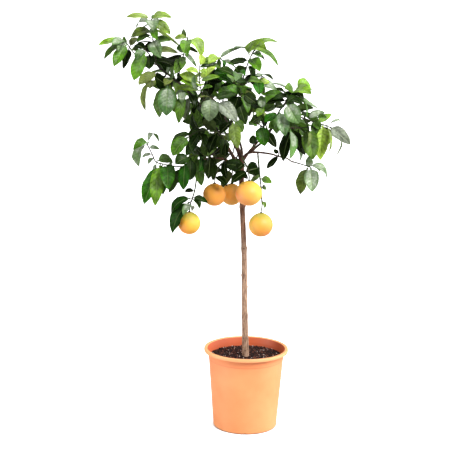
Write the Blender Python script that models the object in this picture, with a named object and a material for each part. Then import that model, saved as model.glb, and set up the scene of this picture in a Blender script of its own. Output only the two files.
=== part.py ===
"""Potted grapefruit tree: a standard tree with a bushy, lopsided crown and five fruits, in a plastic pot.

Metres, +Z up. The origin is the middle of the pot's flat underside, and the front view looks along +Y.
"""

import math
import random

import bmesh
import bpy
from mathutils import Matrix, Vector
from mathutils.bvhtree import BVHTree

CM = 0.01
MM = 0.001
GAP = 0.3 * MM
MERGE = 0.02 * MM
CREASE = math.radians(40)
FLAT = math.radians(0.2)
SPRAY_FLAT = math.radians(2)

# Pot
RIM_RADIUS = 0.160
RIM_HEIGHT = 0.013
RIM_WIDTH = 0.013
RIM_ROUND = 0.0035
POT_HEIGHT = 0.306
WALL_TOP_RADIUS = 0.146
INNER_TOP_RADIUS = 0.1445
WALL_FOOT_RADIUS = 0.1215
FOOT_RADIUS = 0.1165
FOOT_ROUND = 0.008
STEP_DROP = 0.040
STEP_DEPTH = 0.0012
WALL = 0.0028
FLOOR = 0.004
POT_SEGMENTS = 36
NOTCHES = 6
NOTCH_SIZE = (0.024, 0.020, 0.009)

# Soil
SOIL_TOP = 0.275
SOIL_BUMP = 0.004
SOIL_RINGS = 4

# Where the front view is seen from, which sets how a depth shifts a point of it
EYE = Vector((-0.087, -4.70, 1.72))

# Leaf: places along it as shares of its length, and half widths as shares of the widest
PETIOLE_END = 0.13
BLADE_STATIONS = ((0.37, 1.0, 1), (0.74, 0.90, -1))
BEND_AT = 0.42
PETIOLE_RADIUS = 0.8 * MM
PETIOLE_RING = ((-0.866, 0.5), (0.866, 0.5), (0, -1))
MIDRIB_HALF = 0.75 * MM
YOUNG_MIDRIB_HALF = 0.6 * MM
FOLD = 0.24
WAVE = 0.10
ROOT_DEPTH = 1.5 * MM
ROOT_SPACING = 3 * MM
LEAST_NORMAL = 0.2

# A leaf that would cross another piece takes the mildest change of tip depth (cm) and roll (degrees) that clears it
CLEAR = 1.0 * MM
SHIFTS = (0, -1.5, 1.5, -3, 3, -4.5, 4.5, -6.5, 6.5, -9, 9)
ROLLS = (0, 14, -14, 30, -30, 50, -50)
SHIFT_COST = 5
NUDGES = sorted(((s, r) for s in SHIFTS for r in ROLLS), key=lambda n: abs(n[0]) * SHIFT_COST + abs(n[1]))
SWING = 6

# Leafy stems, each on a short spur of its limb
STEM_STEP = 0.055
STEM_RADII = (2.3, 1.8, 1.5)
STEM_SIDES = 5
SPUR_SIDES = 3
STEM_LEAD = 4 * MM
SPUR_LENGTH = 3 * MM
SPUR_RADIUS = 2.8 * MM
LEAST_SLANT = 0.4

FACES = {
    "f": Vector((0, -1, 0)),
    "b": Vector((0, 1, 0)),
    "l": Vector((-1, 0, 0)),
    "r": Vector((1, 0, 0)),
    "u": Vector((0, 0, 1)),
    "d": Vector((0, 0, -1)),
}

# Points are (across, height, depth) in cm, as seen in the front view; depth is behind the trunk.
TRUNK = [(-0.2, 14, 0), (-0.2, 28, 0), (-0.8, 46, 0), (-1.3, 66, 0), (-2.3, 84, 0), (-2.8, 95, 0), (-2.8, 103.6, 0)]
TRUNK_RADII = (13.5, 12.6, 10.6, 9.8, 9.3, 9.2, 8.8)
TRUNK_STEP = 0.09
TRUNK_SIDES = 8
LIMB_STEP = 0.07
LIMB_SIDES = 5

# Pruned stubs: height in cm, side (1 right, -1 left) and how much they turn to the front
TRUNK_STUBS = ((43, -1, -0.8), (54, 1, 0.2), (58.5, -1, 0.1), (69, 1, -0.3), (85, 1, 0.2))
STUB_REACH = 14 * MM
STUB_RADII = (6.5, 3.5)

# Thickness at both ends as radii in mm, then the points
LIMBS = {
    "right_low": (5.2, 2.4, [(-2.8, 102.2, 0), (-1.4, 104.7, -0.5), (0.6, 105.6, -1), (4, 105.6, -1.5),
                             (8, 105.1, -2), (11, 104.2, -2), (13.8, 103.6, -2), (15.6, 102.4, -2)]),
    "right_up": (4.6, 2.6, [(0.4, 105.5, -1), (2.4, 107.6, -1), (5, 109.9, 0), (7, 112.6, 0),
                            (8.6, 115.8, 0), (10, 119, 0), (10.6, 121, 0)]),
    "middle": (6.0, 2.8, [(-2.8, 102, 0), (-4.4, 106, 1), (-6.2, 110, 2), (-7.0, 115, 2), (-6.6, 120, 2),
                          (-5.8, 124.5, 2), (-4.7, 128, 2), (-3.4, 131.3, 2)]),
    "left_high": (7.0, 2.8, [(-3, 99.5, 0), (-5.8, 103.6, -1), (-8.9, 108.6, -1), (-12.4, 114.2, -1),
                             (-15.8, 119.4, 0), (-19.7, 124.4, 0), (-24, 129, 1), (-28.5, 132.6, 1),
                             (-32.5, 135.6, 0), (-34.5, 137.8, 0)]),
    "left_low": (4.6, 2.5, [(-3, 98, 0), (-5.2, 100.6, -3), (-8.4, 102.6, -4), (-12, 103.4, -5),
                            (-16, 103, -5), (-20, 101.6, -4)]),
    "front": (5.0, 2.6, [(-2.8, 101, 0), (-3.6, 105.5, -4), (-5.4, 110.5, -8), (-7.6, 115, -11),
                         (-9.8, 119.5, -13), (-11.6, 123, -14)]),
    "back_left": (5.2, 2.6, [(-2.8, 102.6, 0), (-3, 107, 5), (-4.8, 112, 10), (-7.6, 117, 14), (-10, 121, 17)]),
    "back_right": (5.0, 2.6, [(-2.8, 101.8, 0), (0.4, 106.6, 5), (4, 110.6, 9), (8, 114.8, 13), (11, 118, 16)]),
}

# Each leaf: (share of the stem, tip across, tip height, tip depth, width, faces[, arch]).
# The face letters are front, back, left, right, up and down; capitals mark a young leaf.
SPRAYS = {
    "crest_left": ([(-34.5, 137.8, 0), (-35.2, 142, 0), (-35.9, 147, 0), (-36.2, 151.5, 0), (-36.5, 153.9, 0)], [
        (1.0, -45.8, 154.3, -2, 2.6, "UF", 0.12),
        (1.0, -29.0, 154.4, -1, 3.4, "UF", 0.23),
        (0.98, -33.6, 155.0, 4, 1.8, "u", 0.2),
        (0.96, -35.6, 149.6, -8, 4.8, "UF", 0.2),
        (0.94, -29.5, 148.4, -4, 4.4, "FU", 0.16),
        (0.95, -41.6, 150.6, 6, 3.2, "UF", 0.26),
        (0.93, -40.2, 149.9, 2, 2.4, "LU", 0.1),
        (0.66, -43.9, 147.1, -3, 4.0, "fu", 0.26),
        (0.58, -41.8, 145.3, -6, 3.2, "lf", 0.18),
        (0.5, -40.7, 147.2, 1, 2.4, "u", 0.12),
        (0.42, -41.4, 145.3, 4, 2.6, "u", 0.06),
        (0.8, -25.4, 143.6, 4, 1.6, "uf", 0.03),
        (0.5, -32.8, 139.8, -9, 5.0, "f", 0.12),
        (0.44, -29.3, 146.2, -4, 3.8, "uf", 0.1),
        (0.14, -26.5, 141.6, -4, 3.2, "uf", 0.24),
        (0.82, -34.2, 146.3, -6, 3.0, "f", 0.08),
        (0.36, -39.5, 143.2, -7, 4.0, "f", 0.1),
    ]),
    "far_left": ([(-34, 137.3, 0), (-38.5, 138.6, 0), (-41.8, 140.6, 0), (-43.9, 143, -1), (-45.4, 145, -2),
                  (-46.4, 146.2, -2)], [
        (1.0, -55.9, 144.2, -2, 2.8, "UF", 0.08),
        (0.99, -50.9, 144.3, -7, 3.6, "UF", 0.12),
        (0.92, -53.8, 139.0, 2, 3.2, "fu", 0.1),
        (0.88, -50.1, 136.5, -7, 4.4, "fu", 0.04),
        (0.94, -48.6, 142.0, -9, 2.8, "FU", 0.14),
        (1.0, -46.6, 147.4, 1, 1.6, "LU", 0.1),
        (0.78, -46.6, 135.7, 3, 4.0, "fr", -0.06),
        (0.7, -41.2, 141.9, -5, 2.8, "fu", 0.12),
        (0.34, -43.1, 134.3, 5, 2.4, "lf", 0.1),
        (0.76, -41.8, 147.1, 3, 2.6, "uf", 0.14),
    ]),
    "left_droop": ([(-33.5, 136.5, 0), (-35.4, 139, -3), (-37.6, 141.6, -5), (-39, 142.9, -6)], [
        (1.0, -42.2, 138.8, -9, 3.2, "fu", 0.18),
        (0.9, -42.8, 131.5, -7, 5.2, "fu", 0.1),
        (0.7, -37.2, 135.7, -8, 4.2, "fu", 0.12),
        (1.0, -42.4, 144.4, -2, 3.4, "uf", 0.14),
        (0.4, -41.6, 136.4, 1, 3.4, "fl", 0.12),
        (0.5, -36.4, 140.2, -9, 3.4, "fr", 0.1),
    ]),
    "left_under": ([(-33, 135.8, 0), (-34.6, 135, -4), (-36, 133.4, -6), (-36.6, 131.6, -7)], [
        (0.45, -41.1, 129.9, -8, 4.4, "FU", 0.05),
        (1.0, -36.9, 128.7, -10, 4.0, "FU", 0.14),
        (1.0, -38.3, 120.2, -5, 3.0, "lf", 0.17),
    ]),
    "limb_shade": ([(-30.5, 134.2, 0.5), (-31.2, 133.6, 4), (-32, 132.6, 6)], [
        (0.7, -35.0, 131.0, 4, 4.2, "fl", 0.1),
        (0.9, -32.5, 128.3, 7, 4.8, "f", 0.1),
        (1.0, -29.2, 129.0, 5, 4.4, "fr", 0.1),
        (1.0, -34.5, 131.5, 13, 4.4, "ub", 0.12),
        (0.6, -29.6, 137.9, 3, 3.0, "uf", 0.14),
        (0.12, -36.0, 141.3, 2, 3.4, "fu", 0.05),
    ]),
    "left_front": ([(-27.5, 131.8, 1), (-28.8, 131.6, -5), (-30.4, 130.2, -10)], [
        (1.0, -30.8, 118.7, -12, 6.4, "f", 0.07),
        (0.92, -33.4, 117.9, -7, 5.4, "lf", 0.12),
        (0.8, -27.6, 119.9, -5, 3.6, "f", 0.08),
        (0.7, -31.5, 129.7, -13, 3.2, "FU", 0.22),
        (0.5, -28.2, 133.6, -8, 4.0, "uf", 0.16),
    ]),
    "left_mid": ([(-19.7, 124.4, 0), (-21, 126, -4), (-23, 127.3, -8), (-25.2, 127.8, -9)], [
        (1.0, -25.2, 123.6, -12, 3.0, "UF", 0.2),
        (0.95, -26.3, 116.0, -12, 3.6, "FU", 0.12),
        (0.5, -23.9, 117.3, -10, 5.0, "fl", 0.06),
        (0.75, -20.6, 121.4, -6, 4.2, "fr", 0.1),
        (0.85, -28.0, 125.5, -4, 3.6, "uf", 0.12),
    ]),
    "crest_second": ([(-27, 131.4, 1), (-26, 135.5, 2), (-25, 140, 1), (-23.9, 144, 0), (-23.2, 147.6, 0)], [
        (0.98, -28.2, 147.0, 1, 2.4, "UF", 0.12),
        (1.0, -24.9, 150.3, 2, 3.2, "fL", 0.14),
        (0.96, -18.3, 140.4, -2, 6.0, "RUF", 0.29),
        (0.97, -24.5, 141.6, -7, 4.0, "FU", 0.14),
        (0.8, -23.3, 140.3, -9, 2.8, "UF", 0.2),
        (0.76, -19.4, 141.9, -4, 1.8, "uf", 0.04),
        (0.9, -26.4, 142.4, -3, 3.2, "f", 0.12),
        (0.62, -32.7, 138.0, -4, 3.0, "fu", -0.08),
        (0.6, -19.8, 136.6, -5, 1.8, "UF", 0.16),
        (0.44, -27.8, 134.0, -9, 4.0, "FU", 0.14),
        (0.4, -28.9, 137.0, 8, 3.6, "lb", 0.14),
        (0.55, -25.4, 136.0, -3, 2.6, "f", 0.06),
    ]),
    "spark": ([(-15.8, 119.4, 0), (-16.6, 123.5, -5), (-17.8, 127, -9), (-18.6, 130.5, -10), (-18.8, 134, -10),
               (-18.7, 137.4, -9)], [
        (1.0, -18.5, 141.6, -8, 3.4, "FR", 0.12),
        (0.86, -24.0, 135.6, -10, 2.4, "UF", 0.2),
        (0.62, -25.9, 131.6, -11, 2.8, "UF", 0.1),
        (0.56, -27.2, 129.0, -6, 3.2, "UF", 0.12),
        (0.76, -12.8, 136.9, -8, 2.6, "UF", 0.12),
        (0.72, -11.3, 133.3, -11, 2.6, "UF", 0.12),
        (0.58, -20.5, 134.2, -14, 2.8, "FL", 0.14),
        (0.56, -13.9, 129.6, -14, 2.6, "UF", 0.14),
        (0.9, -16.0, 133.8, -15, 2.4, "UF", 0.16),
        (0.3, -20.6, 119.6, -12, 4.4, "fl", 0.1),
        (0.72, -26.1, 134.1, -6, 4.2, "uf", 0.1),
        (0.7, -18.7, 129.7, -9, 3.0, "f", 0.08),
    ]),
    "crest_third": ([(-19.7, 124.4, 0), (-17.5, 129, 4), (-14.6, 134, 4), (-12.8, 137.5, 2), (-11.6, 140.3, 1)], [
        (0.98, -15.7, 138.0, -5, 3.8, "UF", 0.18),
        (1.0, -10.3, 136.7, -3, 2.8, "RF", 0.24),
        (1.0, -3.8, 143.9, 2, 1.8, "UF", 0.16),
        (0.9, -18.1, 138.2, 0, 3.4, "uf", 0.12),
        (0.84, -16.2, 136.4, -6, 3.0, "uf", 0.14),
        (1.0, -1.9, 138.3, 7, 1.7, "UF", 0.02),
        (0.66, -8.6, 133.8, 0, 3.6, "fu", 0.12),
        (0.5, -21.0, 133.4, 6, 3.8, "ul", 0.12),
        (0.6, -13.8, 131.4, 11, 4.0, "ub", 0.14),
        (0.9, -11.0, 136.5, -4, 3.4, "F", 0.1),
        (0.9, -18.6, 136.6, -3, 2.8, "uf", 0.1),
    ]),
    "mid_shoulder": ([(-5.8, 124.5, 2), (-6.8, 128, -1), (-6, 132, -3), (-4.6, 135.2, -4)], [
        (1.0, -10.2, 138.7, -3, 2.8, "U", 0.14),
        (0.95, -2.2, 133.8, -6, 2.8, "RUF", 0.3),
        (0.8, -12.0, 136.2, -7, 3.6, "FU", 0.12),
        (0.9, -5.6, 131.8, -13, 3.6, "UF", 0.16),
        (0.55, -13.6, 133.6, -5, 3.0, "uf", 0.12),
        (0.4, -12.0, 127.0, -4, 3.8, "fu", 0.1),
        (0.6, -1.0, 131.6, 6, 3.4, "ur", 0.12),
    ]),
    "crest_mid": ([(-3.4, 131.3, 2), (-2.1, 135.2, 2), (-1.5, 137.4, 2), (-0.5, 140, 2), (0.3, 141.8, 2),
                   (1.4, 143.4, 1)], [
        (1.0, 9.8, 146.0, 1, 2.3, "UF", 0.38),
        (1.0, 5.5, 143.3, -5, 5.2, "FU", 0.25),
        (0.97, 9.9, 137.4, -2, 3.2, "FRU", 0.19),
        (1.0, 0.1, 146.5, 2, 2.0, "LF", 0.1),
        (0.86, -7.4, 143.3, 1, 3.8, "U", 0.15),
        (0.66, 3.3, 135.5, -4, 4.6, "FU", 0.12),
        (0.62, -8.4, 137.8, 0, 3.0, "fu", 0.06),
        (0.9, 4.9, 139.4, 5, 2.4, "U", 0.14),
        (0.4, -6.4, 133.2, 8, 3.6, "ub", 0.12),
        (0.94, 3.8, 140.4, -4, 3.0, "FU", 0.1),
        (1.0, 4.2, 147.6, -3, 3.2, "FL", 0.3),
    ]),
    "mid_right": ([(-4.7, 128, 2), (-2.6, 130.4, -1), (0, 131.6, -2), (2.6, 131.2, -3)], [
        (0.5, 4.9, 133.0, 1, 2.8, "U", 0.2),
        (0.6, 4.4, 131.3, -6, 2.6, "UF", 0.26),
        (0.8, 8.3, 132.2, 5, 3.4, "U", 0.24),
        (0.2, 5.6, 132.8, 4, 2.6, "U", 0.2),
        (1.0, 3.2, 126.8, -9, 4.0, "FU", 0.14),
        (1.0, 6.9, 131.4, -6, 3.0, "UF", 0.14),
        (1.0, 9.6, 128.8, -1, 3.8, "UF", 0.14),
        (0.4, -1.4, 126.0, -7, 3.8, "fl", 0.12),
        (0.3, -1.0, 129.7, -8, 3.6, "f", 0.1),
        (1.0, 4.9, 126.9, -3, 3.4, "uf", 0.12),
    ]),
    "crest_right": ([(10.6, 121, 0), (12.6, 124, -1), (14.6, 126.6, -1), (16.4, 128.8, -1)], [
        (1.0, 22.1, 129.0, 1, 5.4, "UF", 0.4),
        (0.97, 22.3, 127.5, -6, 5.0, "FU", 0.22),
        (0.96, 19.5, 125.4, -2, 2.6, "RF", 0.24),
        (0.98, 12.4, 129.4, -4, 4.8, "FU", 0.16),
        (0.9, 14.0, 125.2, -9, 4.0, "FU", 0.16),
        (0.94, 6.9, 131.1, 2, 2.6, "U", 0.12),
        (0.7, 8.0, 125.2, -3, 2.6, "FU", 0.12),
        (0.9, 23.6, 122.7, 4, 2.4, "UF", 0.04),
        (0.8, 24.9, 122.2, 0, 2.2, "URF", 0.04),
        (0.66, 20.7, 118.8, -3, 3.0, "ru", 0.26),
        (0.5, 8.6, 128.6, 8, 3.8, "ub", 0.14),
        (0.84, 18.6, 126.4, 9, 3.6, "ub", 0.14),
        (0.6, 4.2, 126.9, -4, 3.4, "uf", 0.14),
        (0.45, 5.7, 123.6, -7, 2.8, "fu", 0.1),
        (0.8, 19.3, 123.6, -9, 3.4, "uf", 0.12),
    ]),
    "right_front": ([(8.6, 115.8, 0), (9.4, 118.8, -7), (11, 121.4, -12), (13.4, 124.2, -14)], [
        (1.0, 18.0, 116.6, -16, 5.8, "f", 0.1),
        (0.7, 13.1, 111.8, -16, 4.8, "fu", 0.12),
        (0.4, 9.9, 112.6, -12, 4.0, "fu", 0.12),
        (0.9, 9.0, 122.4, -15, 3.6, "UF", 0.14),
        (0.55, 5.4, 116.8, -12, 3.8, "fl", 0.12),
        (1.0, 16.6, 126.6, -16, 3.0, "FU", 0.1),
        (0.45, 7.6, 120.3, -9, 3.6, "fl", 0.1),
        (0.2, 6.7, 114.6, -9, 3.2, "f", 0.08),
    ]),
    "far_right": ([(10.2, 119.8, 0), (14.5, 119.6, 0), (19, 118.8, 0), (23, 117.4, -1), (26.4, 116.4, -1),
                   (29, 115.7, -2)], [
        (1.0, 37.2, 109.1, -4, 5.2, "FU", 0.03),
        (0.94, 32.7, 117.2, 4, 1.0, "URF", 0.42),
        (1.0, 31.5, 104.1, 1, 2.4, "R", 0.3),
        (0.96, 28.6, 108.4, -4, 3.2, "fr", 0.1),
        (0.88, 26.3, 103.1, -7, 5.8, "F", 0.08),
        (0.97, 29.4, 106.2, -8, 2.6, "FR", 0.08),
        (0.68, 25.8, 114.3, -5, 3.4, "fu", 0.12),
        (0.72, 23.8, 111.6, -8, 3.2, "FU", 0.14),
        (0.6, 23.5, 118.9, 5, 2.8, "U", 0.2),
        (0.76, 29.9, 120.3, 1, 3.0, "UF", 0.05),
        (0.74, 28.2, 118.7, -4, 3.4, "UF", 0.18),
        (0.5, 16.6, 121.0, 8, 3.8, "ub", 0.14),
        (0.3, 12.8, 116.0, 6, 3.8, "br", 0.14),
        (0.42, 21.6, 113.1, -8, 3.2, "fr", 0.06),
        (0.55, 27.5, 120.8, 2, 3.0, "uf", 0.16),
    ]),
    "right_hang": ([(8.6, 115.8, 0), (12.5, 115, -4), (17, 114.9, -5), (21.4, 115.2, -5)], [
        (0.6, 12.5, 102.4, -5, 5.3, "fl", 0.08),
        (0.5, 14.8, 103.3, -9, 4.8, "fr", 0.08),
        (0.62, 18.8, 106.6, -4, 4.2, "f", 0.08),
        (0.74, 20.4, 104.9, -1, 4.4, "fl", 0.08),
        (0.98, 23.6, 103.3, -8, 6.0, "f", 0.08),
        (0.95, 21.4, 107.8, -10, 3.0, "fr", 0.08),
        (0.6, 18.5, 102.4, 3, 4.2, "fr", 0.08),
        (0.88, 22.4, 102.2, 2, 2.6, "r", 0.1),
        (0.34, 14.8, 110.0, 3, 4.0, "bu", 0.12),
    ]),
    "low_right": ([(15.6, 102.4, -2), (18, 101.9, -2), (20.5, 101.1, -2), (22.9, 100.3, -2)], [
        (0.85, 19.2, 90.1, -2, 5.4, "fl", 0.06),
        (1.0, 23.6, 91.1, -5, 5.4, "f", 0.08),
        (0.9, 22.0, 104.6, -3, 2.8, "F", 0.1),
        (1.0, 28.8, 96.2, 0, 3.4, "RUF", 0.31),
        (1.0, 26.4, 98.6, 4, 2.0, "u", 0.1),
    ]),
    "low_right_bud": ([(10.6, 104.4, -2), (10.9, 104.9, -3), (10.8, 105.6, -3.6)], [
        (0.3, 6.4, 99.5, -5, 2.8, "fl", -0.08),
        (1.0, 8.8, 106.8, -4, 1.6, "f", 0.08),
    ]),
    "right_inner": ([(7, 112.6, 0), (5.6, 114.4, -4), (3.8, 115.8, -7), (2.4, 116.4, -8)], [
        (0.8, 5.6, 108.0, -10, 5.0, "f", 0.08),
        (0.3, 9.9, 107.6, -4, 3.6, "fu", -0.1),
        (0.95, -0.2, 117.3, -11, 3.2, "fl", 0.12),
        (0.55, 3.6, 119.6, -7, 3.0, "UF", 0.14),
    ]),
    "crotch_right": ([(2.4, 107.6, -1), (1.7, 108, -2.4), (1.2, 108.4, -3.2)], [
        (1.0, 1.2, 112.1, -3.4, 3.0, "f", 0.08),
    ]),
    "centre_front": ([(-11.6, 123, -14), (-13, 124.6, -15), (-14.6, 125.8, -16)], [
        (1.0, -15.2, 116.9, -19, 6.2, "f", 0.1),
        (0.2, -4.8, 117.0, -18, 5.6, "fu", 0.12),
        (0.4, -10.0, 116.6, -15, 3.0, "f", 0.08),
        (0.5, -5.2, 126.9, -15, 3.4, "uf", 0.14),
        (0.9, -19.6, 125.2, -16, 3.6, "ul", 0.12),
    ]),
    "centre_shoulder": ([(-5.8, 124.5, 2), (-4.6, 125.8, -5), (-3.6, 127, -10), (-2.6, 127.4, -12)], [
        (1.0, 2.2, 123.8, -14, 3.8, "fr", 0.12),
        (0.9, -0.9, 120.2, -13, 4.0, "fr", 0.1),
        (0.6, -6.0, 121.0, -12, 5.0, "fu", 0.12),
        (0.4, -1.5, 115.8, -6, 4.2, "f", 0.08),
        (0.8, -8.8, 129.8, -11, 3.4, "uf", 0.12),
    ]),
    "centre_low": ([(-7.6, 115, -11), (-7, 116.6, -12), (-6, 117.4, -12.5)], [
        (1.0, -2.7, 113.1, -12, 3.8, "fu", 0.12),
        (0.7, -4.4, 107.0, -14, 4.4, "F", 0.1),
        (0.4, -11.0, 112.5, -14, 3.8, "fl", 0.1),
    ]),
    "inner_right": ([(7, 112.6, 0), (5.8, 116, 2), (4.8, 119.4, 1), (4.4, 122, 0)], [
        (1.0, 2.6, 118.8, -4, 3.0, "FU", 0.16),
        (0.6, 0.5, 118.2, 3, 3.0, "fl", 0.12),
        (0.8, 9.8, 123.0, 4, 3.4, "ur", 0.12),
        (1.0, 3.8, 126.8, 2, 3.2, "uf", 0.12),
        (0.5, 9.0, 118.8, 7, 3.6, "ub", 0.12),
        (0.9, 0.6, 124.4, 5, 3.6, "ul", 0.12),
        (0.8, -0.7, 115.8, -5, 3.2, "f", 0.1),
    ]),
    "left_mass": ([(-12.4, 114.2, -1), (-16, 113.8, -6), (-20, 112.8, -9), (-22.6, 111, -10)], [
        (0.45, -22.2, 109.0, -7, 6.2, "fl", 0.07),
        (1.0, -28.5, 103.9, -12, 5.4, "FU", 0.14),
        (0.85, -29.0, 108.2, -5, 3.4, "uf", 0.12),
        (0.7, -17.2, 107.4, -13, 4.6, "fr", 0.1),
        (0.6, -21.2, 119.6, -6, 4.2, "ul", 0.12),
        (0.3, -14.6, 121.4, -7, 4.2, "fl", 0.1),
        (0.6, -23.5, 103.9, -6, 3.6, "f", 0.1),
    ]),
    "low_left_mass": ([(-16, 103, -5), (-18.6, 104.6, -9), (-21.6, 103.8, -12), (-24, 101.8, -13)], [
        (0.8, -27.5, 100.9, -15, 5.0, "fu", 0.14),
        (1.0, -24.4, 91.2, -13, 4.0, "f", 0.08),
        (0.75, -21.9, 94.9, -10, 4.4, "f", 0.08),
        (0.5, -17.6, 92.8, -12, 3.8, "F", 0.08),
        (0.35, -18.6, 98.2, -15, 4.4, "fr", 0.1),
        (0.55, -22.4, 109.4, -15, 4.0, "FL", 0.12),
    ]),
    "inner_low": ([(-12, 103.4, -5), (-13.4, 104.8, -9), (-14.8, 104.2, -11)], [
        (0.9, -15.1, 95.4, -13, 4.0, "f", 0.08),
        (0.5, -13.4, 94.7, -9, 2.4, "f", 0.08),
        (1.0, -19.4, 106.8, -14, 4.0, "FL", 0.12),
    ]),
    "crotch_left": ([(-8.9, 108.6, -1), (-10, 111.2, -5), (-12.2, 113.2, -8)], [
        (0.9, -15.0, 105.0, -10, 4.8, "fl", 0.08),
        (0.5, -10.6, 104.4, -7, 5.2, "fr", 0.08),
        (1.0, -17.2, 117.6, -9, 4.0, "ul", 0.12),
    ]),
    "crotch_low": ([(-8.4, 102.6, -4), (-8.7, 103.4, -5), (-9, 103.8, -6)], [
        (0.6, -8.2, 95.6, -7, 3.8, "fl", 0.08),
        (1.0, -8.9, 108.6, -7, 2.2, "F", 0.1),
    ]),
    "behind_trunk": ([(-4.8, 112, 10), (-5.6, 108, 11), (-6.4, 103.5, 10), (-7, 99, 9)], [
        (0.9, -0.4, 95.6, 7, 3.4, "uf", 0.1),
        (0.6, -4.4, 98.0, 13, 3.8, "fr", 0.1),
        (0.5, -15.3, 99.6, 12, 3.6, "bl", 0.1),
        (1.0, -10.2, 92.0, 12, 3.6, "b", 0.1),
    ]),
    "low_left": ([(-20, 101.6, -4), (-24, 100, -6), (-28.3, 100.1, -6), (-31.5, 100.7, -6), (-34.6, 101.6, -6),
                  (-36.3, 105, -6), (-38, 108.3, -6)], [
        (1.0, -40.9, 99.6, -8, 5.0, "LUF", 0.26),
        (0.97, -43.1, 105.9, -11, 3.4, "UF", 0.36),
        (1.0, -33.3, 108.6, -3, 3.0, "U", 0.8),
        (0.94, -33.3, 106.4, -7, 1.9, "UF", 0.04),
        (0.8, -39.8, 103.5, -3, 2.0, "UF", 0.04),
        (0.74, -37.4, 100.7, 2, 2.0, "U", 0.04),
        (0.66, -28.3, 101.2, -3, 4.2, "UF", 0.24),
        (0.64, -34.0, 95.9, -4, 2.6, "fl", 0.12),
        (0.53, -39.0, 85.5, -8, 6.2, "FL", 0.1),
        (0.58, -34.9, 84.9, -12, 5.2, "FU", 0.1),
        (0.46, -30.0, 91.2, -14, 5.4, "fu", 0.12),
        (0.44, -31.9, 89.3, -8, 6.2, "fl", 0.06),
        (0.24, -26.6, 93.8, -2, 4.2, "f", 0.08),
        (0.34, -31.5, 96.2, 3, 4.0, "bl", 0.12),
        (0.38, -29.7, 90.1, -2, 5.0, "fr", 0.08),
    ]),
    "fruit_twig_left": ([(-20, 101.6, -4), (-19.5, 97.5, -6), (-19.9, 92.5, -6), (-20.8, 88.6, -5.4),
                         (-21.7, 85.8, -5), (-22.1, 83.6, -5)], [
        (0.72, -28.9, 82.4, -5, 4.6, "ULF", 0.22),
        (0.78, -28.4, 74.6, -8, 6.4, "LUF", 0.14),
        (0.7, -15.2, 86.4, -9, 2.6, "uf", 0.12),
        (0.74, -18.3, 84.2, -7, 3.0, "RUF", 0.22),
        (0.56, -23.9, 90.6, -6, 2.0, "uf", 0.1),
        (0.86, -24.5, 81.6, -10, 2.8, "FU", 0.14),
        (0.88, -21.1, 83.2, -1, 2.2, "fr", 0.1),
    ]),
    "fruit_twig_right": ([(3, 105.6, -1.5), (3.4, 102, -3), (3.8, 98, -3), (4.4, 93.5, -3), (4.8, 89, -3),
                          (5, 85.5, -3), (4.8, 83.3, -3)], [
        (0.24, -1.2, 98.5, -6, 5.4, "fl", 0.12),
        (0.3, 0.5, 94.7, -9, 2.6, "FR", 0.06),
        (0.42, 8.5, 94.4, -3, 3.2, "UF", 0.08),
        (0.58, 6.6, 91.9, -2, 2.2, "UF", 0.2),
        (0.8, 6.0, 84.6, -3, 1.8, "RF", 0.2),
    ]),
    "fruit_twig_front": ([(-3.6, 105.5, -4), (-2.6, 103.4, -8), (-0.8, 100, -9.4), (0, 96.8, -8.6), (0, 95.2, -8)], [
        (0.5, -4.4, 99.2, -12, 3.6, "fl", 0.12),
        (0.7, -6.7, 94.0, -10, 3.4, "fl", 0.1),
    ]),
    "fruit_twig_middle": ([(-8.4, 102.6, -4), (-11, 100.4, -7), (-12.4, 97, -5), (-12.8, 94.1, -2)], [
        (0.7, -8.1, 92.8, -9, 2.4, "fu", 0.12),
        (0.5, -14.4, 99.8, -4, 3.4, "fu", 0.12),
    ]),
    "fruit_twig_back": ([(-3, 107, 5), (-5, 103, 6.6), (-6.2, 98.4, 6.4), (-6.4, 94.2, 6)], [
        (0.4, -3.4, 100.2, 10, 3.0, "b", 0.1),
    ]),
}

# Leafy stems with no leaf read from the front view: (points, number of leaves), set in a spiral.
BACK_SPRAYS = {
    "back_a": ([(-7.6, 117, 14), (-12.5, 117.6, 18), (-16.5, 119.4, 24)], 7),
    "back_b": ([(-10, 121, 17), (-10, 125.4, 20), (-9, 129.6, 23)], 7),
    "back_c": ([(-4.8, 112, 10), (-9.6, 112.6, 17), (-14, 112.4, 23)], 7),
    "back_d": ([(6, 112.7, 11), (4, 118.4, 15), (2.4, 123.4, 19)], 6),
    "back_e": ([(11, 118, 16), (14.4, 119.4, 20), (17.4, 119.6, 25)], 7),
    "back_f": ([(8, 114.8, 13), (12.8, 115.6, 19), (17, 113.4, 22)], 6),
    "back_g": ([(-24, 129, 1), (-26.6, 131.2, 8), (-29.4, 132.2, 14)], 7),
    "back_h": ([(-17.8, 122, 0), (-18.8, 122.8, 8), (-19.4, 123.6, 15)], 6),
    "back_i": ([(-12.4, 114.2, -1), (-14.4, 110, 7), (-16.6, 106.4, 13)], 6),
    "back_j": ([(-5.8, 124.5, 2), (-5.4, 127, 9), (-6, 129.6, 15)], 6),
    "back_k": ([(9.3, 117.4, 0), (13.4, 117, 8), (17.4, 115.4, 14)], 6),
}
GOLDEN_TURN = math.radians(137.5)
BACK_LEAF_LENGTH = (8.0, 11.5)
BACK_LEAF_WIDTH_SHARE = 0.46
BACK_LEAF_SPREAD = math.radians(62)
BACK_LEAF_DROOP = 0.45
BACK_LEAF_ARCH = 0.16

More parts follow.
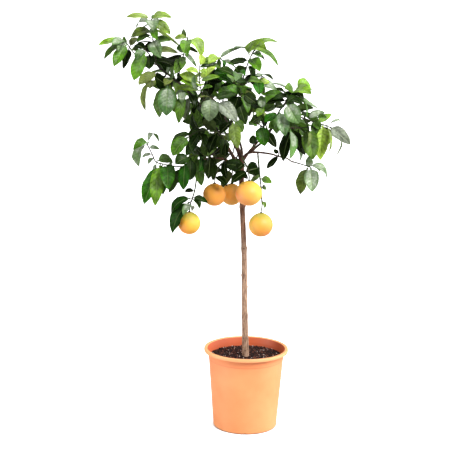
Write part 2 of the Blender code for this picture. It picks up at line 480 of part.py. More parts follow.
# Leaves that fill the crown behind those read from the front: tips across, in height and in depth (cm), number
FILLS = (
    ((-22, -9), (98, 112), (-9, 10), 9),
    ((-20, -9), (112, 126), (-9, 10), 6),
    ((-9, -3), (116, 128), (-6, 10), 5),
    ((0, 9), (124, 133), (-4, 8), 4),
    ((12, 26), (106, 125), (-6, 10), 5),
    ((-34, -22), (127, 138), (-6, 8), 5),
    ((-20, 0), (124, 136), (-6, 8), 6),
)
FILL_REACH = (6.5 * CM, 10.5 * CM)
FILL_WIDTH_SHARE = (0.40, 0.50)
FILL_ARCH = (0.08, 0.18)
FILL_RISE = 1 * CM
FILL_TRIES = 30
PERCH_STEP = 1 * CM

# Fruit: (across, height, depth) of the centre in cm, width in cm, height as a share of the width
FRUITS = {
    "grapefruit_left": ((-22.1, 78.6, -5), 8.3, 1.0),
    "grapefruit_middle": ((-12.8, 89.5, -2), 8.6, 0.97),
    "grapefruit_back": ((-6.4, 89.7, 6), 8.3, 0.98),
    "grapefruit_front": ((0.0, 90.2, -8), 9.8, 0.93),
    "grapefruit_right": ((4.7, 78.3, -3), 9.0, 0.98),
}
FRUIT_OF_TWIG = {
    "fruit_twig_left": "grapefruit_left",
    "fruit_twig_middle": "grapefruit_middle",
    "fruit_twig_back": "grapefruit_back",
    "fruit_twig_front": "grapefruit_front",
    "fruit_twig_right": "grapefruit_right",
}
FRUIT_SEGMENTS = 14
FRUIT_PROFILE = (22, 50, 78, 104, 132, 158)
FRUIT_NECK = 0.03
CALYX_RADII = (2.2 * MM, 5.2 * MM)
CALYX_HEIGHT = 2.6 * MM


def seen(point):
    """The place of a front view point (across, height, depth) in cm, on the sight line through it."""
    across, height, depth = point
    flat = Vector((across * CM, 0, height * CM))
    reach = (depth * CM - EYE.y) / -EYE.y
    return EYE + (flat - EYE) * reach


def smooth_path(points, step):
    """Points about a step apart on a Catmull-Rom curve through the given ones."""
    padded = [points[0] * 2 - points[1], *points, points[-1] * 2 - points[-2]]
    path = [points[0]]
    for a, b, c, d in zip(padded, padded[1:], padded[2:], padded[3:]):
        count = max(1, round((c - b).length / step))
        for i in range(1, count + 1):
            t = i / count
            bow = (c - a) * t + (2 * a - 5 * b + 4 * c - d) * t * t + (3 * b - 3 * c + d - a) * t ** 3
            path.append(b + 0.5 * bow)
    return path


def path_length(path):
    return sum((b - a).length for a, b in zip(path, path[1:]))


def along(path, distance):
    """The point and direction at this distance from the start of a path."""
    for a, b in zip(path, path[1:]):
        length = (b - a).length
        if distance <= length:
            return a + (b - a) * (distance / length), (b - a).normalized()
        distance -= length
    return path[-1].copy(), (path[-1] - path[-2]).normalized()


def blend(values, share):
    """The value at a share of an evenly spaced row of values."""
    place = share * (len(values) - 1)
    low = min(int(place), len(values) - 2)
    return values[low] + (values[low + 1] - values[low]) * (place - low)


def even_radii(values, path):
    """A radius for each point of a path, in metres, from an evenly spaced row in millimetres."""
    return [blend(values, i / (len(path) - 1)) * MM for i in range(len(path))]


def tube(path, radii, sides, swell=0.0):
    """Vertices and faces of a closed round tube along a path."""
    ways = [(b - a).normalized() for a, b in zip(path, path[1:])]
    ways = [ways[0]] + [(a + b).normalized() for a, b in zip(ways, ways[1:])] + [ways[-1]]
    side = ways[0].orthogonal().normalized()
    verts, faces = [], []
    for i, (point, way, radius) in enumerate(zip(path, ways, radii)):
        side = (side - way * side.dot(way)).normalized()
        other = way.cross(side)
        for k in range(sides):
            angle = 2 * math.pi * k / sides
            verts.append(point + (side * math.cos(angle) + other * math.sin(angle)) * (radius + swell))
        if i:
            low = (i - 1) * sides
            for k in range(sides):
                n = (k + 1) % sides
                faces.append((low + k, low + n, low + sides + n, low + sides + k))
    faces.append(tuple(reversed(range(sides))))
    faces.append(tuple(range(len(verts) - sides, len(verts))))
    return verts, faces


class Leaf:
    """A folded, arched blade on a thin stalk, built of rings that run round its axis."""

    def __init__(self, base, tip, width, faces, arch, roll):
        self.base, self.tip, self.half = base, tip, width / 2
        chord = tip - base
        self.length = chord.length
        axis = chord.normalized()
        wanted = sum((FACES[letter] for letter in faces.lower()), Vector())
        normal = wanted - axis * wanted.dot(axis)
        if normal.length < LEAST_NORMAL:
            normal = axis.orthogonal()
        normal = (Matrix.Rotation(roll, 3, axis) @ normal).normalized()
        self.bend = base + chord * BEND_AT + normal * (2 * arch * self.length)
        self.side = axis.cross(normal).normalized()
        self.midrib_half = YOUNG_MIDRIB_HALF if faces.isupper() else MIDRIB_HALF

    def point(self, u):
        return self.base * (1 - u) ** 2 + self.bend * (2 * u * (1 - u)) + self.tip * u * u

    def up(self, u):
        way = (self.bend - self.base) * (1 - u) + (self.tip - self.bend) * u
        return self.side.cross(way).normalized()

    def stalk_ring(self, u, swell):
        middle, up = self.point(u), self.up(u)
        radius = PETIOLE_RADIUS + swell
        return [middle + (self.side * across + up * rise) * radius for across, rise in PETIOLE_RING]

    def blade_ring(self, u, share, wave, swell):
        """Left edge, midrib top, right edge and underside, with the edges raised and one of them waved up."""
        middle, up = self.point(u), self.up(u)
        half = self.half * share
        thick = self.midrib_half + swell
        rise, ripple = half * FOLD, half * WAVE * wave
        return [
            middle - self.side * (half + swell) + up * (rise + ripple),
            middle + up * thick,
            middle + self.side * (half + swell) + up * (rise - ripple),
            middle - up * thick,
        ]

    def petiole(self, swell=0.0):
        verts = self.stalk_ring(0, swell) + self.stalk_ring(PETIOLE_END, swell)
        return verts, [*ROOT_CAP, *STALK_BAND, (3, 4, 5)]

    def blade(self, swell=0.0, root=False):
        """The blade, with its stalk where asked. Swollen, it is the clear space that it keeps round itself."""
        verts = self.stalk_ring(0, swell) if root else []
        verts += self.stalk_ring(PETIOLE_END, swell)
        faces = [*ROOT_CAP, *(STALK_BAND if root else ())]
        widening = len(verts) - len(PETIOLE_RING)
        faces += shifted(WIDENING_BAND, widening)
        for i, (u, share, wave) in enumerate(BLADE_STATIONS):
            if i:
                faces += shifted(BLADE_BAND, len(verts) - BLADE_SIDES)
            verts += self.blade_ring(u, share, wave, swell)
        verts.append(self.tip + (self.tip - self.bend).normalized() * swell)
        faces += shifted(TIP_CAP, len(verts) - 1 - BLADE_SIDES)
        return verts, faces


# Triangles between rings, as places in the first ring and then the next; each splits alike on both sides of the blade
BLADE_SIDES = 4
ROOT_CAP = ((0, 2, 1),)
STALK_BAND = ((0, 1, 4), (0, 4, 3), (1, 2, 5), (1, 5, 4), (2, 0, 3), (2, 3, 5))
WIDENING_BAND = ((0, 1, 4), (1, 5, 4), (0, 4, 3), (1, 2, 5), (2, 6, 5), (2, 0, 3), (2, 3, 6))
BLADE_BAND = ((0, 1, 4), (1, 5, 4), (1, 2, 6), (1, 6, 5), (2, 3, 6), (3, 7, 6), (3, 0, 4), (3, 4, 7))
TIP_CAP = ((0, 1, 4), (1, 2, 4), (2, 3, 4), (3, 0, 4))


def shifted(faces, start):
    return [tuple(start + i for i in face) for face in faces]


class Crown:
    """What is placed so far, so that what comes next can be bent clear of it."""

    def __init__(self):
        self.kept = []

    def keep(self, owner, verts, faces):
        low = [min(v[i] for v in verts) for i in range(3)]
        high = [max(v[i] for v in verts) for i in range(3)]
        self.kept.append((owner, low, high, BVHTree.FromPolygons(verts, faces)))

    def crossed(self, verts, faces, skip=()):
        """The owner of the first kept shape that this one crosses, if any."""
        low = [min(v[i] for v in verts) for i in range(3)]
        high = [max(v[i] for v in verts) for i in range(3)]
        shape = None
        for owner, other_low, other_high, other in self.kept:
            if owner in skip or any(low[i] > other_high[i] or high[i] < other_low[i] for i in range(3)):
                continue
            shape = shape or BVHTree.FromPolygons(verts, faces)
            if shape.overlap(other):
                return owner
        return None


def place_leaf(crown, spray, base, tip_at, width, faces, arch):
    """The leaf in its first nudged place that is clear of everything, or None."""
    own_stem = spray + " stem"
    for shift, roll in NUDGES:
        leaf = Leaf(base, tip_at(shift), width * CM, faces, arch, math.radians(roll))
        if crown.crossed(*leaf.blade(CLEAR)) or crown.crossed(*leaf.petiole(CLEAR), skip=(own_stem,)):
            continue
        crown.keep(spray, *leaf.blade())
        crown.keep(own_stem, *leaf.petiole())
        return leaf
    return None


def free_root(path, share, taken):
    """The distance along a stem nearest below this share of it that no other leaf has."""
    distance = min(share * path_length(path), path_length(path) - ROOT_DEPTH)
    while any(abs(distance - other) < ROOT_SPACING for other in taken) and distance > 2 * ROOT_SPACING:
        distance -= ROOT_SPACING / 4
    taken.append(distance)
    return distance


def read_leaves(crown, spray, path, rows, taken):
    """The leaves whose tips were read from the front view."""
    placed = []
    for share, across, height, depth, width, faces, *arch in rows:
        base = along(path, free_root(path, share, taken))[0]

        def tip_at(shift, across=across, height=height, depth=depth):
            return seen((across, height, depth + shift))

        placed.append(place_leaf(crown, spray, base, tip_at, width, faces, *arch))
    return placed


def spiral_leaves(crown, spray, path, count, taken):
    """Drooping leaves that follow one another in a spiral round a stem."""
    rng = random.Random(spray)
    turn = rng.uniform(0, 2 * math.pi)
    placed = []
    for i in range(count):
        share = 0.3 + 0.7 * i / (count - 1)
        base, way = along(path, free_root(path, share, taken))
        out = Matrix.Rotation(turn + i * GOLDEN_TURN, 3, way) @ way.orthogonal().normalized()
        spread = BACK_LEAF_SPREAD * (1.0 - 0.35 * share)
        reach = way * math.cos(spread) + out * math.sin(spread)
        reach.z -= BACK_LEAF_DROOP * rng.uniform(0.5, 1.3)
        size = rng.uniform(*BACK_LEAF_LENGTH)
        faces = "u" + ("r" if reach.x > 0 else "l") + ("b" if reach.y > 0 else "f")

        def tip_at(shift, base=base, reach=reach, size=size):
            swing = Matrix.Rotation(math.radians(shift * SWING), 3, "Z")
            return base + swing @ reach.normalized() * (size * CM)

        placed.append(place_leaf(crown, spray, base, tip_at, size * BACK_LEAF_WIDTH_SHARE, faces, BACK_LEAF_ARCH))
    return placed


def fill_leaves(crown, stems, leaves, taken):
    """More leaves on any stem near enough, with their tips spread through the ranges of the fills."""
    rng = random.Random("fill")
    perches = []
    for name, path in stems.items():
        count = int(path_length(path) / PERCH_STEP)
        perches += [(name, i * PERCH_STEP, along(path, i * PERCH_STEP)[0]) for i in range(1, count)]
    for across, height, depth, count in FILLS:
        wanted = count
        for _ in range(count * FILL_TRIES):
            tip = seen([rng.uniform(*span) for span in (across, height, depth)])
            near = [p for p in perches if FILL_REACH[0] < (tip - p[2]).length < FILL_REACH[1]]
            near = [p for p in near if tip.z < p[2].z + FILL_RISE]
            near = [p for p in near if all(abs(p[1] - other) > ROOT_SPACING for other in taken[p[0]])]
            if not near or not wanted:
                continue
            name, distance, base = rng.choice(near)
            width = (tip - base).length / CM * rng.uniform(*FILL_WIDTH_SHARE)
            faces = rng.choice(("uf", "f", "fl", "fr", "ul", "ur"))
            leaf = place_leaf(crown, name, base, lambda shift: tip, width, faces, rng.uniform(*FILL_ARCH))
            if leaf:
                leaves[name].append(leaf)
                taken[name].append(distance)
                wanted -= 1
        if wanted:
            print("fill", across, height, "lacks", wanted)


def nearest_on_limbs(point, limbs):
    """The nearest point of the limbs' axes, with the direction and radius there."""
    found = []
    for path, radii in limbs:
        for a, b, radius in zip(path, path[1:], radii):
            way = b - a
            share = max(0.0, min(1.0, (point - a).dot(way) / way.length_squared))
            near = a + way * share
            found.append(((near - point).length, near, way.normalized(), radius))
    return min(found, key=lambda f: f[0])[1:]


def plant_stem(points, limbs):
    """The path of a limb's short spur, and of the stem that stands off the spur's flat end."""
    path = smooth_path(points, STEM_STEP)
    start, limb_way, radius = nearest_on_limbs(path[0], limbs)
    way = (path[1] - start).normalized()
    foot = start + way * (radius / max(LEAST_SLANT, way.cross(limb_way).length) + SPUR_LENGTH)
    lead = foot + way * STEM_LEAD
    rest = path[1:]
    while len(rest) > 1 and (rest[0] - lead).dot(way) < STEM_STEP / 3:
        rest.pop(0)
    return [start, foot], [foot + way * GAP, lead, *rest]


def fruit_top(fruit):
    place, width, height_share = FRUITS[fruit]
    return seen(place) + Vector((0, 0, width * CM / 2 * height_share * (1 + FRUIT_NECK)))


def material(name, color, roughness):
    made = bpy.data.materials.new(name)
    made.use_nodes = True
    shader = made.node_tree.nodes["Principled BSDF"]
    shader.inputs["Base Color"].default_value = (*color, 1)
    shader.inputs["Roughness"].default_value = roughness
    return made


def new_object(name, verts, faces):
    mesh = bpy.data.meshes.new(name)
    mesh.from_pydata(verts, [], faces)
    obj = bpy.data.objects.new(name, mesh)
    bpy.context.scene.collection.objects.link(obj)
    return obj


def bake(obj):
    """Replaces the mesh by what its modifiers make of it."""
    bpy.context.view_layer.update()
    graph = bpy.context.evaluated_depsgraph_get()
    mesh = bpy.data.meshes.new_from_object(obj.evaluated_get(graph))
    obj.modifiers.clear()
    obj.data = mesh


def join(body, members):
    """Fuses the members into the body as one solid."""
    group = bpy.data.collections.new(body.name + "_members")
    bpy.context.scene.collection.children.link(group)
    for member in members:
        bpy.context.scene.collection.objects.unlink(member)
        group.objects.link(member)
    union = body.modifiers.new("union", "BOOLEAN")
    union.operation = "UNION"
    union.operand_type = "COLLECTION"
    union.collection = group
    union.solver = "MANIFOLD"
    bake(body)
    for member in members:
        bpy.data.objects.remove(member)
    bpy.data.collections.remove(group)


def cut(body, cutter):
    """Takes the cutter out of the body."""
    hole = body.modifiers.new("cut", "BOOLEAN")
    hole.operation = "DIFFERENCE"
    hole.object = cutter
    hole.solver = "EXACT"
    bake(body)
    bpy.data.objects.remove(cutter)


def is_one_body(mesh):
    """Whether a mesh is closed and all of one piece."""
    if any(len(edge.link_faces) != 2 for edge in mesh.edges):
        return False
    mesh.faces.ensure_lookup_table()
    reached, waiting = {mesh.faces[0]}, [mesh.faces[0]]
    while waiting:
        face = waiting.pop()
        for edge in face.edges:
            for other in edge.link_faces:
                if other not in reached:
                    reached.add(other)
                    waiting.append(other)
    return len(reached) == len(mesh.faces)


def finish(obj, coat, flat=FLAT):
    """Clears needless edges where that keeps the piece whole, makes triangles and gives it its material."""
    mesh = bmesh.new()
    mesh.from_mesh(obj.data)
    light = mesh.copy()
    bmesh.ops.remove_doubles(light, verts=light.verts, dist=MERGE)
    bmesh.ops.dissolve_limit(light, angle_limit=flat, verts=light.verts, edges=light.edges)
    for version in (light, mesh):
        bmesh.ops.triangulate(version, faces=version.faces)
    kept = light if is_one_body(light) else mesh
    kept.to_mesh(obj.data)
    light.free()
    mesh.free()
    obj.data.materials.clear()
    obj.data.materials.append(coat)
    obj.data.shade_smooth()
    obj.data.set_sharp_from_angle(angle=CREASE)


def turned(name, profile, segments):
    """A solid of revolution from (radius, height) points that start and end on the axis."""
    verts, faces, rows = [], [], []
    for radius, height in profile:
        count = segments if radius else 1
        rows.append(range(len(verts), len(verts) + count))
        for k in range(count):
            angle = 2 * math.pi * k / segments
            verts.append(Vector((radius * math.cos(angle), radius * math.sin(angle), height)))
    for low, high in zip(rows, rows[1:]):
        for k in range(segments):
            n = (k + 1) % segments
            if len(low) == 1:
                faces.append((low[0], high[n], high[k]))
            elif len(high) == 1:
                faces.append((low[k], low[n], high[0]))
            else:
                faces.append((low[k], low[n], high[n], high[k]))
    return new_object(name, verts, faces)


def inner_radius(height):
    """The pot's inner wall radius at a height."""
    share = (height - FLOOR) / (POT_HEIGHT - FLOOR)
    return WALL_FOOT_RADIUS - WALL + share * (INNER_TOP_RADIUS - WALL_FOOT_RADIUS + WALL)


def make_pot(coat):
    rim_low = POT_HEIGHT - RIM_HEIGHT
    rim_in = RIM_RADIUS - RIM_WIDTH
    step = POT_HEIGHT - STEP_DROP
    step_radius = WALL_TOP_RADIUS - (WALL_TOP_RADIUS - WALL_FOOT_RADIUS) * STEP_DROP / POT_HEIGHT
    profile = [
        (0, 0),
        (FOOT_RADIUS, 0),
        (WALL_FOOT_RADIUS, FOOT_ROUND),
        (step_radius - STEP_DEPTH, step - STEP_DEPTH),
        (step_radius, step + STEP_DEPTH),
        (WALL_TOP_RADIUS, rim_low),
        (RIM_RADIUS, rim_low + RIM_ROUND / 2),
        (RIM_RADIUS, POT_HEIGHT - RIM_ROUND),
        (RIM_RADIUS - RIM_ROUND, POT_HEIGHT),
        (rim_in, POT_HEIGHT),
        (inner_radius(rim_low - RIM_ROUND), rim_low - RIM_ROUND),
        (inner_radius(FLOOR), FLOOR),
        (0, FLOOR),
    ]
    pot = turned("pot", profile, POT_SEGMENTS)
    for i in range(NOTCHES):
        bpy.ops.mesh.primitive_cube_add(size=1)
        notch = bpy.context.object
        turn = Matrix.Rotation(2 * math.pi * i / NOTCHES, 4, "Z")
        notch.data.transform(turn @ Matrix.Translation((0, -FOOT_RADIUS, 0)) @ Matrix.Diagonal((*NOTCH_SIZE, 1)))
        cut(pot, notch)
    finish(pot, coat)


def make_soil(coat, stem, stem_radii):
    """A bed of soil on the pot's floor, with an uneven top and a plain hole for the trunk."""
    rng = random.Random("soil")
    edge = inner_radius(SOIL_TOP) - 2 * GAP
    profile = [(0, FLOOR + GAP), (inner_radius(FLOOR) - 2 * GAP, FLOOR + GAP), (edge, SOIL_TOP - SOIL_BUMP)]
    for i in range(1, SOIL_RINGS):
        profile.append((edge * (1 - i / SOIL_RINGS), SOIL_TOP))
    profile.append((0, SOIL_TOP))
    soil = turned("soil", profile, POT_SEGMENTS // 2)
    for vertex in soil.data.vertices:
        if vertex.co.z == soil.data.vertices[-1].co.z:
            vertex.co.z += rng.uniform(-SOIL_BUMP, SOIL_BUMP)
    lowest = stem[0] + (stem[0] - stem[1]).normalized() * GAP
    hole = tube([lowest, *stem[1:]], [radius + GAP for radius in stem_radii], TRUNK_SIDES)
    cut(soil, new_object("hole", *hole))
    finish(soil, coat)


def make_fruit(name, coat, crown):
    """A slightly flattened fruit that swells a little towards its stalk."""
    place, width, height_share = FRUITS[name]
    radius = width * CM / 2
    profile = [(0, -radius * height_share)]
    for degrees in reversed(FRUIT_PROFILE):
        angle = math.radians(degrees)
        neck = 1 + FRUIT_NECK * max(0.0, math.cos(angle)) ** 4
        profile.append((radius * math.sin(angle), radius * height_share * neck * math.cos(angle)))
    profile.append((0, radius * height_share * (1 + FRUIT_NECK)))
    fruit = turned(name, profile, FRUIT_SEGMENTS)
    fruit.data.transform(Matrix.Translation(seen(place)))
    finish(fruit, coat)
    crown.keep(name, [v.co.copy() for v in fruit.data.vertices], [tuple(p.vertices) for p in fruit.data.polygons])


def make_wood(coat, trunk, limbs, spurs):
    """The trunk with its pruned stubs, its limbs and the short spurs that carry the leafy stems."""
    body = new_object("trunk", *tube(*trunk, TRUNK_SIDES))
    members = [new_object("limb", *tube(path, radii, LIMB_SIDES)) for path, radii in limbs]
    members += [new_object("spur", *tube(path, [SPUR_RADIUS] * 2, SPUR_SIDES)) for path in spurs]
    for height, way, slant in TRUNK_STUBS:
        start = min(trunk[0], key=lambda p: abs(p.z - height * CM))
        end = start + Vector((way, slant, 0.5)).normalized() * STUB_REACH
        members.append(new_object("stub", *tube([start, end], even_radii(STUB_RADII, [start, end]), LIMB_SIDES)))
    join(body, members)
    finish(body, coat)


def main():
    for obj in list(bpy.data.objects):
        bpy.data.objects.remove(obj)
    bark = material("bark", (0.23, 0.14, 0.09), 0.85)
    green = material("leaf", (0.08, 0.24, 0.04), 0.4)
    peel = material("peel", (0.95, 0.50, 0.10), 0.45)
    plastic = material("pot_plastic", (0.86, 0.38, 0.16), 0.5)
    earth = material("soil", (0.045, 0.030, 0.024), 0.95)

    crown = Crown()
    trunk_path = smooth_path([seen(p) for p in TRUNK], TRUNK_STEP)
    trunk = (trunk_path, even_radii(TRUNK_RADII, trunk_path))
    limbs = []
    for thick, thin, points in LIMBS.values():
        path = smooth_path([seen(p) for p in points], LIMB_STEP)
        limbs.append((path, even_radii((thick, thin), path)))
    crown.keep("trunk", *tube(*trunk, TRUNK_SIDES))
    for limb in limbs:
        crown.keep("trunk", *tube(*limb, LIMB_SIDES))
    for name in FRUITS:
        make_fruit(name, peel, crown)

    spurs, stems = [], {}
    for name, (points, _) in {**SPRAYS, **BACK_SPRAYS}.items():
        points = [seen(p) for p in points]
        if name in FRUIT_OF_TWIG:
            points[-1] = fruit_top(FRUIT_OF_TWIG[name]) + Vector((0, 0, GAP + CALYX_HEIGHT / 2))
        spur, path = plant_stem(points, [trunk, *limbs])
        crossed = crown.crossed(*tube(path, even_radii(STEM_RADII, path), STEM_SIDES))
        if crossed:
            print("stem", name, "crosses", crossed)
        spurs.append(spur)
        stems[name] = path
        crown.keep("trunk", *tube(spur, [SPUR_RADIUS] * 2, SPUR_SIDES))
        crown.keep(name + " stem", *tube(path, even_radii(STEM_RADII, path), STEM_SIDES))

    leaves, taken = {}, {name: [] for name in stems}
    for name, (_, rows) in SPRAYS.items():
        leaves[name] = read_leaves(crown, name, stems[name], rows, taken[name])
    for name, (_, count) in BACK_SPRAYS.items():
        leaves[name] = spiral_leaves(crown, name, stems[name], count, taken[name])
    fill_leaves(crown, stems, leaves, taken)
    for name, path in stems.items():
        stem = new_object(name, *tube(path, even_radii(STEM_RADII, path), STEM_SIDES))
        members = [new_object("leaf", *leaf.blade(root=True)) for leaf in leaves[name] if leaf]
        if name in FRUIT_OF_TWIG:
            low = fruit_top(FRUIT_OF_TWIG[name]) + Vector((0, 0, GAP))
            calyx = [low + Vector((0, 0, CALYX_HEIGHT)), low]
            members.append(new_object("calyx", *tube(calyx, CALYX_RADII, LIMB_SIDES)))
        join(stem, members)
        finish(stem, green, SPRAY_FLAT)

    make_wood(bark, trunk, limbs, spurs)
    make_pot(plastic)
    stem_end = next(i for i, p in enumerate(trunk_path) if p.z > POT_HEIGHT)
    make_soil(earth, trunk_path[: stem_end + 1], trunk[1][: stem_end + 1])
    for name, placed in leaves.items():
        lost = [i for i, leaf in enumerate(placed) if leaf is None]
        if lost:
            print(name, "lost", lost, "of", len(placed))
    print("leaves", sum(1 for placed in leaves.values() for leaf in placed if leaf))


main()
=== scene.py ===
"""Potted grapefruit tree in full detail: veined leaves on winged stalks, bark, peel, pot and compost.

Metres, +Z up, in the frame of the solids. The origin is the middle of the pot's underside, and the front view
looks along +Y.
"""

import math
import random

import bpy
from mathutils import Euler, Matrix, Vector, noise
from mathutils.bvhtree import BVHTree


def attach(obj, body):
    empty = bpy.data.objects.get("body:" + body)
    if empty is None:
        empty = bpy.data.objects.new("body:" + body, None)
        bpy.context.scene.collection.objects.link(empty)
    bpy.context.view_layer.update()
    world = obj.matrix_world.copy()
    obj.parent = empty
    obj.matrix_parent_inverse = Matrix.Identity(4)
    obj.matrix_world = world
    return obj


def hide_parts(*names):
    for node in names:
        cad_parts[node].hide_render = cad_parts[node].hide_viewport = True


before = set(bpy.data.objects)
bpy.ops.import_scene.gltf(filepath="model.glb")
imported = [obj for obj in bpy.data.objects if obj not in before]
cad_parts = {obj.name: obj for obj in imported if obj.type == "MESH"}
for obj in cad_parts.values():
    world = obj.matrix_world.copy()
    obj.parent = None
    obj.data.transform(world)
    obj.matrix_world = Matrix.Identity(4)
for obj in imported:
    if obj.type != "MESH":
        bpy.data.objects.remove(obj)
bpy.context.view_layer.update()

CM = 0.01
MM = 0.001
GAP = 0.3 * MM

# Pot: radii and heights of its turned profile, and the notches in its foot
RIM_RADIUS = 0.160
RIM_HEIGHT = 0.013
RIM_WIDTH = 0.013
RIM_ROUND = 0.0035
POT_HEIGHT = 0.306
WALL_TOP_RADIUS = 0.146
INNER_TOP_RADIUS = 0.1445
WALL_FOOT_RADIUS = 0.1215
FOOT_RADIUS = 0.1165
FOOT_ROUND = 0.008
STEP_DROP = 0.040
STEP_DEPTH = 0.0012
WALL = 0.0028
FLOOR = 0.004
NOTCHES = 6
NOTCH_SIZE = (0.024, 0.020, 0.009)

# Soil
SOIL_TOP = 0.275
SOIL_BUMP = 0.004

# Where the front view is seen from, which sets how a depth shifts a point of it
EYE = Vector((-0.087, -4.70, 1.72))

# Leaf: places along it as shares of its length, and half widths as shares of the widest
PETIOLE_END = 0.13
BLADE_STATIONS = ((0.37, 1.0, 1), (0.74, 0.90, -1))
BEND_AT = 0.42
PETIOLE_RADIUS = 0.8 * MM
PETIOLE_RING = ((-0.866, 0.5), (0.866, 0.5), (0, -1))
MIDRIB_HALF = 0.75 * MM
YOUNG_MIDRIB_HALF = 0.6 * MM
FOLD = 0.24
WAVE = 0.10
ROOT_DEPTH = 1.5 * MM
ROOT_SPACING = 3 * MM
LEAST_NORMAL = 0.2

# A leaf that would cross another piece takes the mildest change of tip depth (cm) and roll (degrees)
# that clears it
CLEAR = 1.0 * MM
SHIFTS = (0, -1.5, 1.5, -3, 3, -4.5, 4.5, -6.5, 6.5, -9, 9)
ROLLS = (0, 14, -14, 30, -30, 50, -50)
SHIFT_COST = 5
NUDGES = sorted(((s, r) for s in SHIFTS for r in ROLLS), key=lambda n: abs(n[0]) * SHIFT_COST + abs(n[1]))
SWING = 6

# Leafy stems, each on a short spur of its limb
STEM_STEP = 0.055
STEM_RADII = (2.3, 1.8, 1.5)
STEM_SIDES = 5
SPUR_SIDES = 3
STEM_LEAD = 4 * MM
SPUR_LENGTH = 3 * MM
SPUR_RADIUS = 2.8 * MM
LEAST_SLANT = 0.4

# The ways that the letters of a leaf's faces stand for
FACES = {
    "f": Vector((0, -1, 0)),
    "b": Vector((0, 1, 0)),
    "l": Vector((-1, 0, 0)),
    "r": Vector((1, 0, 0)),
    "u": Vector((0, 0, 1)),
    "d": Vector((0, 0, -1)),
}

# Points are (across, height, depth) in cm, as seen in the front view; depth is behind the trunk
TRUNK = [(-0.2, 14, 0), (-0.2, 28, 0), (-0.8, 46, 0), (-1.3, 66, 0), (-2.3, 84, 0), (-2.8, 95, 0),
         (-2.8, 103.6, 0)]
TRUNK_RADII = (13.5, 12.6, 10.6, 9.8, 9.3, 9.2, 8.8)
TRUNK_STEP = 0.09
TRUNK_SIDES = 8
LIMB_STEP = 0.07
LIMB_SIDES = 5

# Pruned stubs: height in cm, side (1 right, -1 left) and how much they turn to the front
TRUNK_STUBS = ((43, -1, -0.8), (54, 1, 0.2), (58.5, -1, 0.1), (69, 1, -0.3), (85, 1, 0.2))
STUB_REACH = 14 * MM

# Thickness at both ends as radii in mm, then the points
LIMBS = {
    "right_low": (5.2, 2.4, [(-2.8, 102.2, 0), (-1.4, 104.7, -0.5), (0.6, 105.6, -1), (4, 105.6, -1.5),
                             (8, 105.1, -2), (11, 104.2, -2), (13.8, 103.6, -2), (15.6, 102.4, -2)]),
    "right_up": (4.6, 2.6, [(0.4, 105.5, -1), (2.4, 107.6, -1), (5, 109.9, 0), (7, 112.6, 0),
                            (8.6, 115.8, 0), (10, 119, 0), (10.6, 121, 0)]),
    "middle": (6.0, 2.8, [(-2.8, 102, 0), (-4.4, 106, 1), (-6.2, 110, 2), (-7.0, 115, 2), (-6.6, 120, 2),
                          (-5.8, 124.5, 2), (-4.7, 128, 2), (-3.4, 131.3, 2)]),
    "left_high": (7.0, 2.8, [(-3, 99.5, 0), (-5.8, 103.6, -1), (-8.9, 108.6, -1), (-12.4, 114.2, -1),
                             (-15.8, 119.4, 0), (-19.7, 124.4, 0), (-24, 129, 1), (-28.5, 132.6, 1),
                             (-32.5, 135.6, 0), (-34.5, 137.8, 0)]),
    "left_low": (4.6, 2.5, [(-3, 98, 0), (-5.2, 100.6, -3), (-8.4, 102.6, -4), (-12, 103.4, -5),
                            (-16, 103, -5), (-20, 101.6, -4)]),
    "front": (5.0, 2.6, [(-2.8, 101, 0), (-3.6, 105.5, -4), (-5.4, 110.5, -8), (-7.6, 115, -11),
                         (-9.8, 119.5, -13), (-11.6, 123, -14)]),
    "back_left": (5.2, 2.6, [(-2.8, 102.6, 0), (-3, 107, 5), (-4.8, 112, 10), (-7.6, 117, 14),
                             (-10, 121, 17)]),
    "back_right": (5.0, 2.6, [(-2.8, 101.8, 0), (0.4, 106.6, 5), (4, 110.6, 9), (8, 114.8, 13),
                              (11, 118, 16)]),
}

